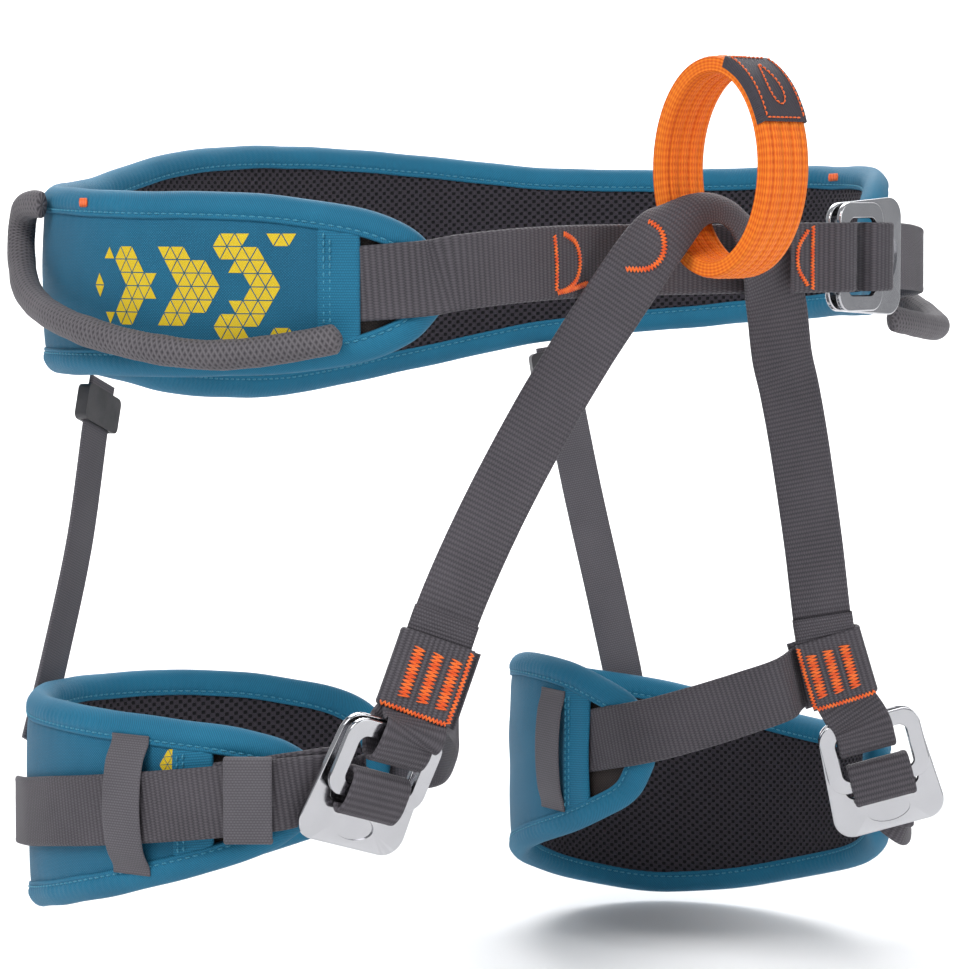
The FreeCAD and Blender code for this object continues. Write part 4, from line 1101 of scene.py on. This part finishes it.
def right_leg_straps():
    """From the tab round the inner thigh into the pad, out of it to the buckle, and the tail."""
    wall, axes, tab = right_wall, RIGHT_BUCKLE, RIGHT_TAB
    start = [tab.at(0, 0, -3.1), tab.at(8, -1, -3.6), tab.at(13, -3, -8)]
    angle = np.array([-150, -138, -122, -105, -88, -78])
    round_front = wall.point(angle, [2.0, -1.0, -2.0, 0.5, 4.3, 6.2])
    round_front[:, 2] = [-148, -154, -164, -175, -181, -182]
    inside = on_wall(wall, [(-70, 4.6, 0), (-63, COVERED, 0), (-54, COVERED, 0)])[0]
    points = np.array(start + list(round_front) + inside)
    widths = np.array([tab.up] * 3 + [(0.1, 0, 1.0)] + [(0, 0, 1.0)] * (len(points) - 4))
    faces = np.cross(np.gradient(points, axis=0), widths)
    leg_strap("right", "inner_webbing", points, list(faces), "right_leg_webbing")

    out, out_faces = on_wall(wall, [(122, COVERED, 0), (130, COVERED, 0), (137, 4.2, 0.5), (143, 6.4, 1),
                                    (150, 6.9, 2)])
    behind = [axes.at(-15, -5, -6.6), axes.at(-6, -2.5, -6.0), axes.at(0, 1, -4.6), axes.at(1, 4, -2.6)]
    leg_strap("right", "outer_webbing", out + behind, out_faces + [axes.face] * 4)

    back = [axes.at(2, -2, -3.6), axes.at(-6, -6, -4.3), axes.at(-16, -7, -4.4)]
    tail, tail_faces = on_wall(wall, [(149, 10.2, 1.0), (141, 10.4, 0.5), (132, 10.2, 0), (122, 8.8, -0.5),
                                      (112, 7.6, -1), (100, 7.2, -1.5), (86, 7.0, -2), (72, 6.8, -3),
                                      (62, 7.2, -3.5), (54, 8.2, -4)])
    leg_strap("right", "webbing_tail", back + tail, [axes.face] * 3 + tail_faces, "right_leg_tail")


def left_leg_straps():
    """The same three lengths, which run closer to the pad on this side."""
    wall, axes, tab = left_wall, LEFT_BUCKLE, LEFT_TAB
    start = [tab.at(-3, 0, -3.1), tab.at(-13, -0.3, -3.2)]
    angle = np.array([-156, -145, -132, -121, -112, -106])
    round_front = wall.point(angle, [7.2, 7.0, 6.9, 6.8, 6.2, 4.6])
    round_front[:, 2] = [-157, -162, -168, -173, -176.5, -178.5]
    inside = wall.point([-99, -90], [COVERED, COVERED])
    inside[:, 2] = [-181, -184]
    faces = [tab.face] * 2 + list(wall.face(np.concatenate([angle, [-99, -90]])))
    points = start + list(round_front) + list(inside)
    leg_strap("left", "inner_webbing", points, faces, "left_leg_webbing")

    out, out_faces = on_wall(wall, [(130, COVERED, 0), (138, COVERED, 0), (145, 5.0, 0), (150, 7.6, 0)])
    behind = [axes.at(10, -15, -10), axes.at(5, -12, -6.8), axes.at(1, -4, -6.0), axes.at(0, 3, -3.0)]
    faces = out_faces + [(0.45, -0.85, 0.1), (-0.1, -0.98, 0.1), axes.face, axes.face]
    leg_strap("left", "outer_webbing", out + behind, faces)

    back = [axes.at(1, -5, -3.6), axes.at(3, -14, -4.4), axes.at(8, -22, -8.0)]
    tail, tail_faces = on_wall(wall, [(150, 13.0, -9), (143, 12.0, -4), (134, 10.4, -1), (122, 9.8, 0),
                                      (108, 8.2, 0), (94, 7.4, 0), (80, 7.4, -1), (66, 8.4, -2),
                                      (54, 11.5, -3)])
    faces = [axes.face, (-0.5, -0.86, -0.05), (0.1, -0.97, -0.2)] + tail_faces
    leg_strap("left", "webbing_tail", back + tail, faces, "left_leg_tail")


def keepers(side, wall, inner, outer, sliding):
    """Elastic sewn up the outside of the pad, and one that slides on the webbing."""
    for which, angle, lift_off in (("inner", inner, 2.0), ("outer", outer, 4.6)):
        outs = [4.9, 5.3, 5.6 + lift_off * 0.7, 6.0 + lift_off]
        ups = (-24, -21, -15, -5, 5, 15, 21, 24)
        points, faces = on_wall(wall, [(angle, out, up) for out, up in zip(outs + outs[::-1], ups)])
        strap_piece(f"{side}_leg_{which}_elastic", f"{side}_leg", [f"{side}_leg_{which}_keeper"],
                    Strap(points, faces, 15, 1.1), ELASTIC, "grey_elastic", rib=0.9, depth=0.05)
    hook = [(8.9, 13.6), (11.2, 14.2), (12.8, 12.8), (12.9, 6)]
    stations = [(sliding, out, -up) for out, up in hook] + [(sliding, out, up) for out, up in hook[::-1]]
    points, faces = on_wall(wall, stations)
    faces[0], faces[-1] = -np.array([0, 0, 1.0]), np.array([0, 0, 1.0])
    strap_piece(f"{side}_leg_sliding_elastic", f"{side}_leg_keeper", [f"{side}_leg_sliding_keeper"],
                Strap(points, faces, 16, 1.1), ELASTIC, "grey_elastic", rib=0.9, depth=0.05)


def rear_elastics():
    """Elastic from under the belt down to the back of each leg loop."""
    right = [(-112.2, 91.4, -40), (-118, 88, -58), (-131, 79.5, -100), (-146, 73, -140), (-160, 66.5, -172)]
    left = [(119.4, 92.4, -32.8), (121, 90.5, -48), (127, 83, -95), (135, 75, -145), (141, 69.5, -185),
            (142, 68.5, -212)]
    for side, points, sign in (("right", right, -1), ("left", left, 1)):
        quads = Quads()
        strap = Strap(points, [(0.42 * sign, 0.9, 0)] * len(points), 17, 1.6)
        strap.add(quads, rib=0.95, depth=0.05)
        piece = quads.make(f"{side}_rear_band", ELASTIC)
        bending(piece, f"{side}_rear_elastic")


# ---------------------------------------------------------------- hardware
def hardware():
    """The CAD's own plates and locks, which only need their finish."""
    for part, material in (("buckle_frame", METAL), ("buckle_ring", METAL), ("ladder_lock", PLASTIC)):
        for name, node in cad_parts.items():
            if part in name:
                node.data.materials.clear()
                node.data.materials.append(material)


def belt_bar_tacks():
    """Small orange bar tacks on the belt's upper edge."""
    quads = Quads()
    for angle, level, wide in ((89, 1, 4.5), (-105, -1, 8.5)):
        along = float(belt.along(angle)) + wide * (np.linspace(0, 1, 15) - 0.5)
        up = float(belt.half(angle)) - 4.6 + np.where(np.arange(15) % 2, 1.3, -1.3)
        line = belt.place(along, up, level * 5.15)
        off = belt.place(along, up, level * 7.0) - line
        tubes(quads, smoothed(line, 2)[None], smoothed(unit(off), 2)[None], 0.36)
    finished(quads.make("belt_bar_tacks", ORANGE_THREAD), "waist_belt", "orange_webbing")


# ---------------------------------------------------------------- scene
def area_light(name, place, target, size, power):
    """A soft light, in metres and watts, turned to its target."""
    data = bpy.data.lights.new(name, "AREA")
    data.shape = "RECTANGLE"
    data.size, data.size_y = size
    data.energy = power
    lamp = bpy.data.objects.new(name, data)
    lamp.location = place
    lamp.rotation_euler = (Vector(target) - Vector(place)).to_track_quat("-Z", "Y").to_euler()
    bpy.context.scene.collection.objects.link(lamp)


def studio():
    """A pale floor that curves up behind, soft lights, and the camera."""
    low = cad_box[0].z - 0.004
    forward = Vector((0.643, 0.766, 0))
    side = Vector((0.766, -0.643, 0))
    turns = np.linspace(0.15, math.pi / 2, 12)
    curved = [(1.9 + 0.7 * math.sin(a), 0.7 - 0.7 * math.cos(a)) for a in turns]
    bend = [(-2.5, 0.0), (1.9, 0.0)] + curved + [(2.6, 3.2)]
    rows = np.array([[forward * along + side * across + Vector((0, 0, low + up)) for across in (-4, 4)]
                     for along, up in bend]) / MM
    quads = Quads()
    quads.grid(rows, np.zeros((len(bend), 2, 2)), flip=True)
    g = Graph("pale_floor", Specular_IOR_Level=0.2)
    colour = g.mix(g.noise(0.5), rgb(0.86, 0.86, 0.87), rgb(0.9, 0.9, 0.9))
    roughness = g.maths("MULTIPLY_ADD", g.noise(0.2), 0.1, 0.7)
    quads.make("floor", g.finish(colour, roughness, g.noise(0.05), 0.00001))

    world = bpy.data.worlds.new("studio")
    world.use_nodes = True
    background = world.node_tree.nodes["Background"]
    background.inputs[0].default_value = (0.95, 0.97, 1.0, 1)
    background.inputs[1].default_value = 0.42
    bpy.context.scene.world = world
    middle = (0, 0, -0.08)
    area_light("key", (-1.3, -0.5, 1.2), middle, (1.0, 1.0), 22)
    area_light("fill", (0.7, -1.7, 0.5), middle, (1.2, 1.0), 9)
    area_light("back", (0.9, 1.2, 1.3), middle, (1.4, 1.0), 14)
    area_light("backdrop", (1.1, 1.3, 1.9), (1.7, 2.0, 0.2), (2.4, 1.4), 75)
    bpy.context.scene.view_settings.view_transform = "Standard"

    azimuth, elevation, distance = math.radians(-40), math.radians(5), 1.2
    level = math.cos(elevation)
    back = Vector((math.sin(azimuth) * level, -math.cos(azimuth) * level, math.sin(elevation)))
    target = Vector((0, 0, -0.080)) + side * 0.0017
    data = bpy.data.cameras.new("camera")
    data.sensor_width, data.lens = 36, 115.8
    camera = bpy.data.objects.new("camera", data)
    camera.location = target + back * distance
    camera.rotation_euler = (-back).to_track_quat("-Z", "Y").to_euler()
    bpy.context.scene.collection.objects.link(camera)
    bpy.context.scene.camera = camera


studio()
belt_pad = Pad("waist", "waist_belt", belt, 11)
belt_pad.build()
belt_pad.chevrons("belt_print", (float(belt.along(109)), -0.5), (37, 19), 5.2)
right_pad = Pad("right_leg", "right_leg", right_wall, 23)
right_pad.build()
right_pad.chevrons("right_leg_print", (float(right_wall.along(123)), 13), (5, 6), 3.0)
Pad("left_leg", "left_leg", left_wall, 37).build()
waist_straps()
grips()
gear_loops()
belay_loop()
tie_in_and_risers()
leg_tab("right", RIGHT_TAB, 1)
leg_tab("left", LEFT_TAB, -1)
leg_anchor("right", RIGHT_TAB, RIGHT_BUCKLE, 2.8)
leg_anchor("left", LEFT_TAB, LEFT_BUCKLE, -2.0)
right_leg_straps()
left_leg_straps()
keepers("right", right_wall, -42, 112, 142)
keepers("left", left_wall, -84, 108, 128)
rear_elastics()
hardware()
belt_bar_tacks()
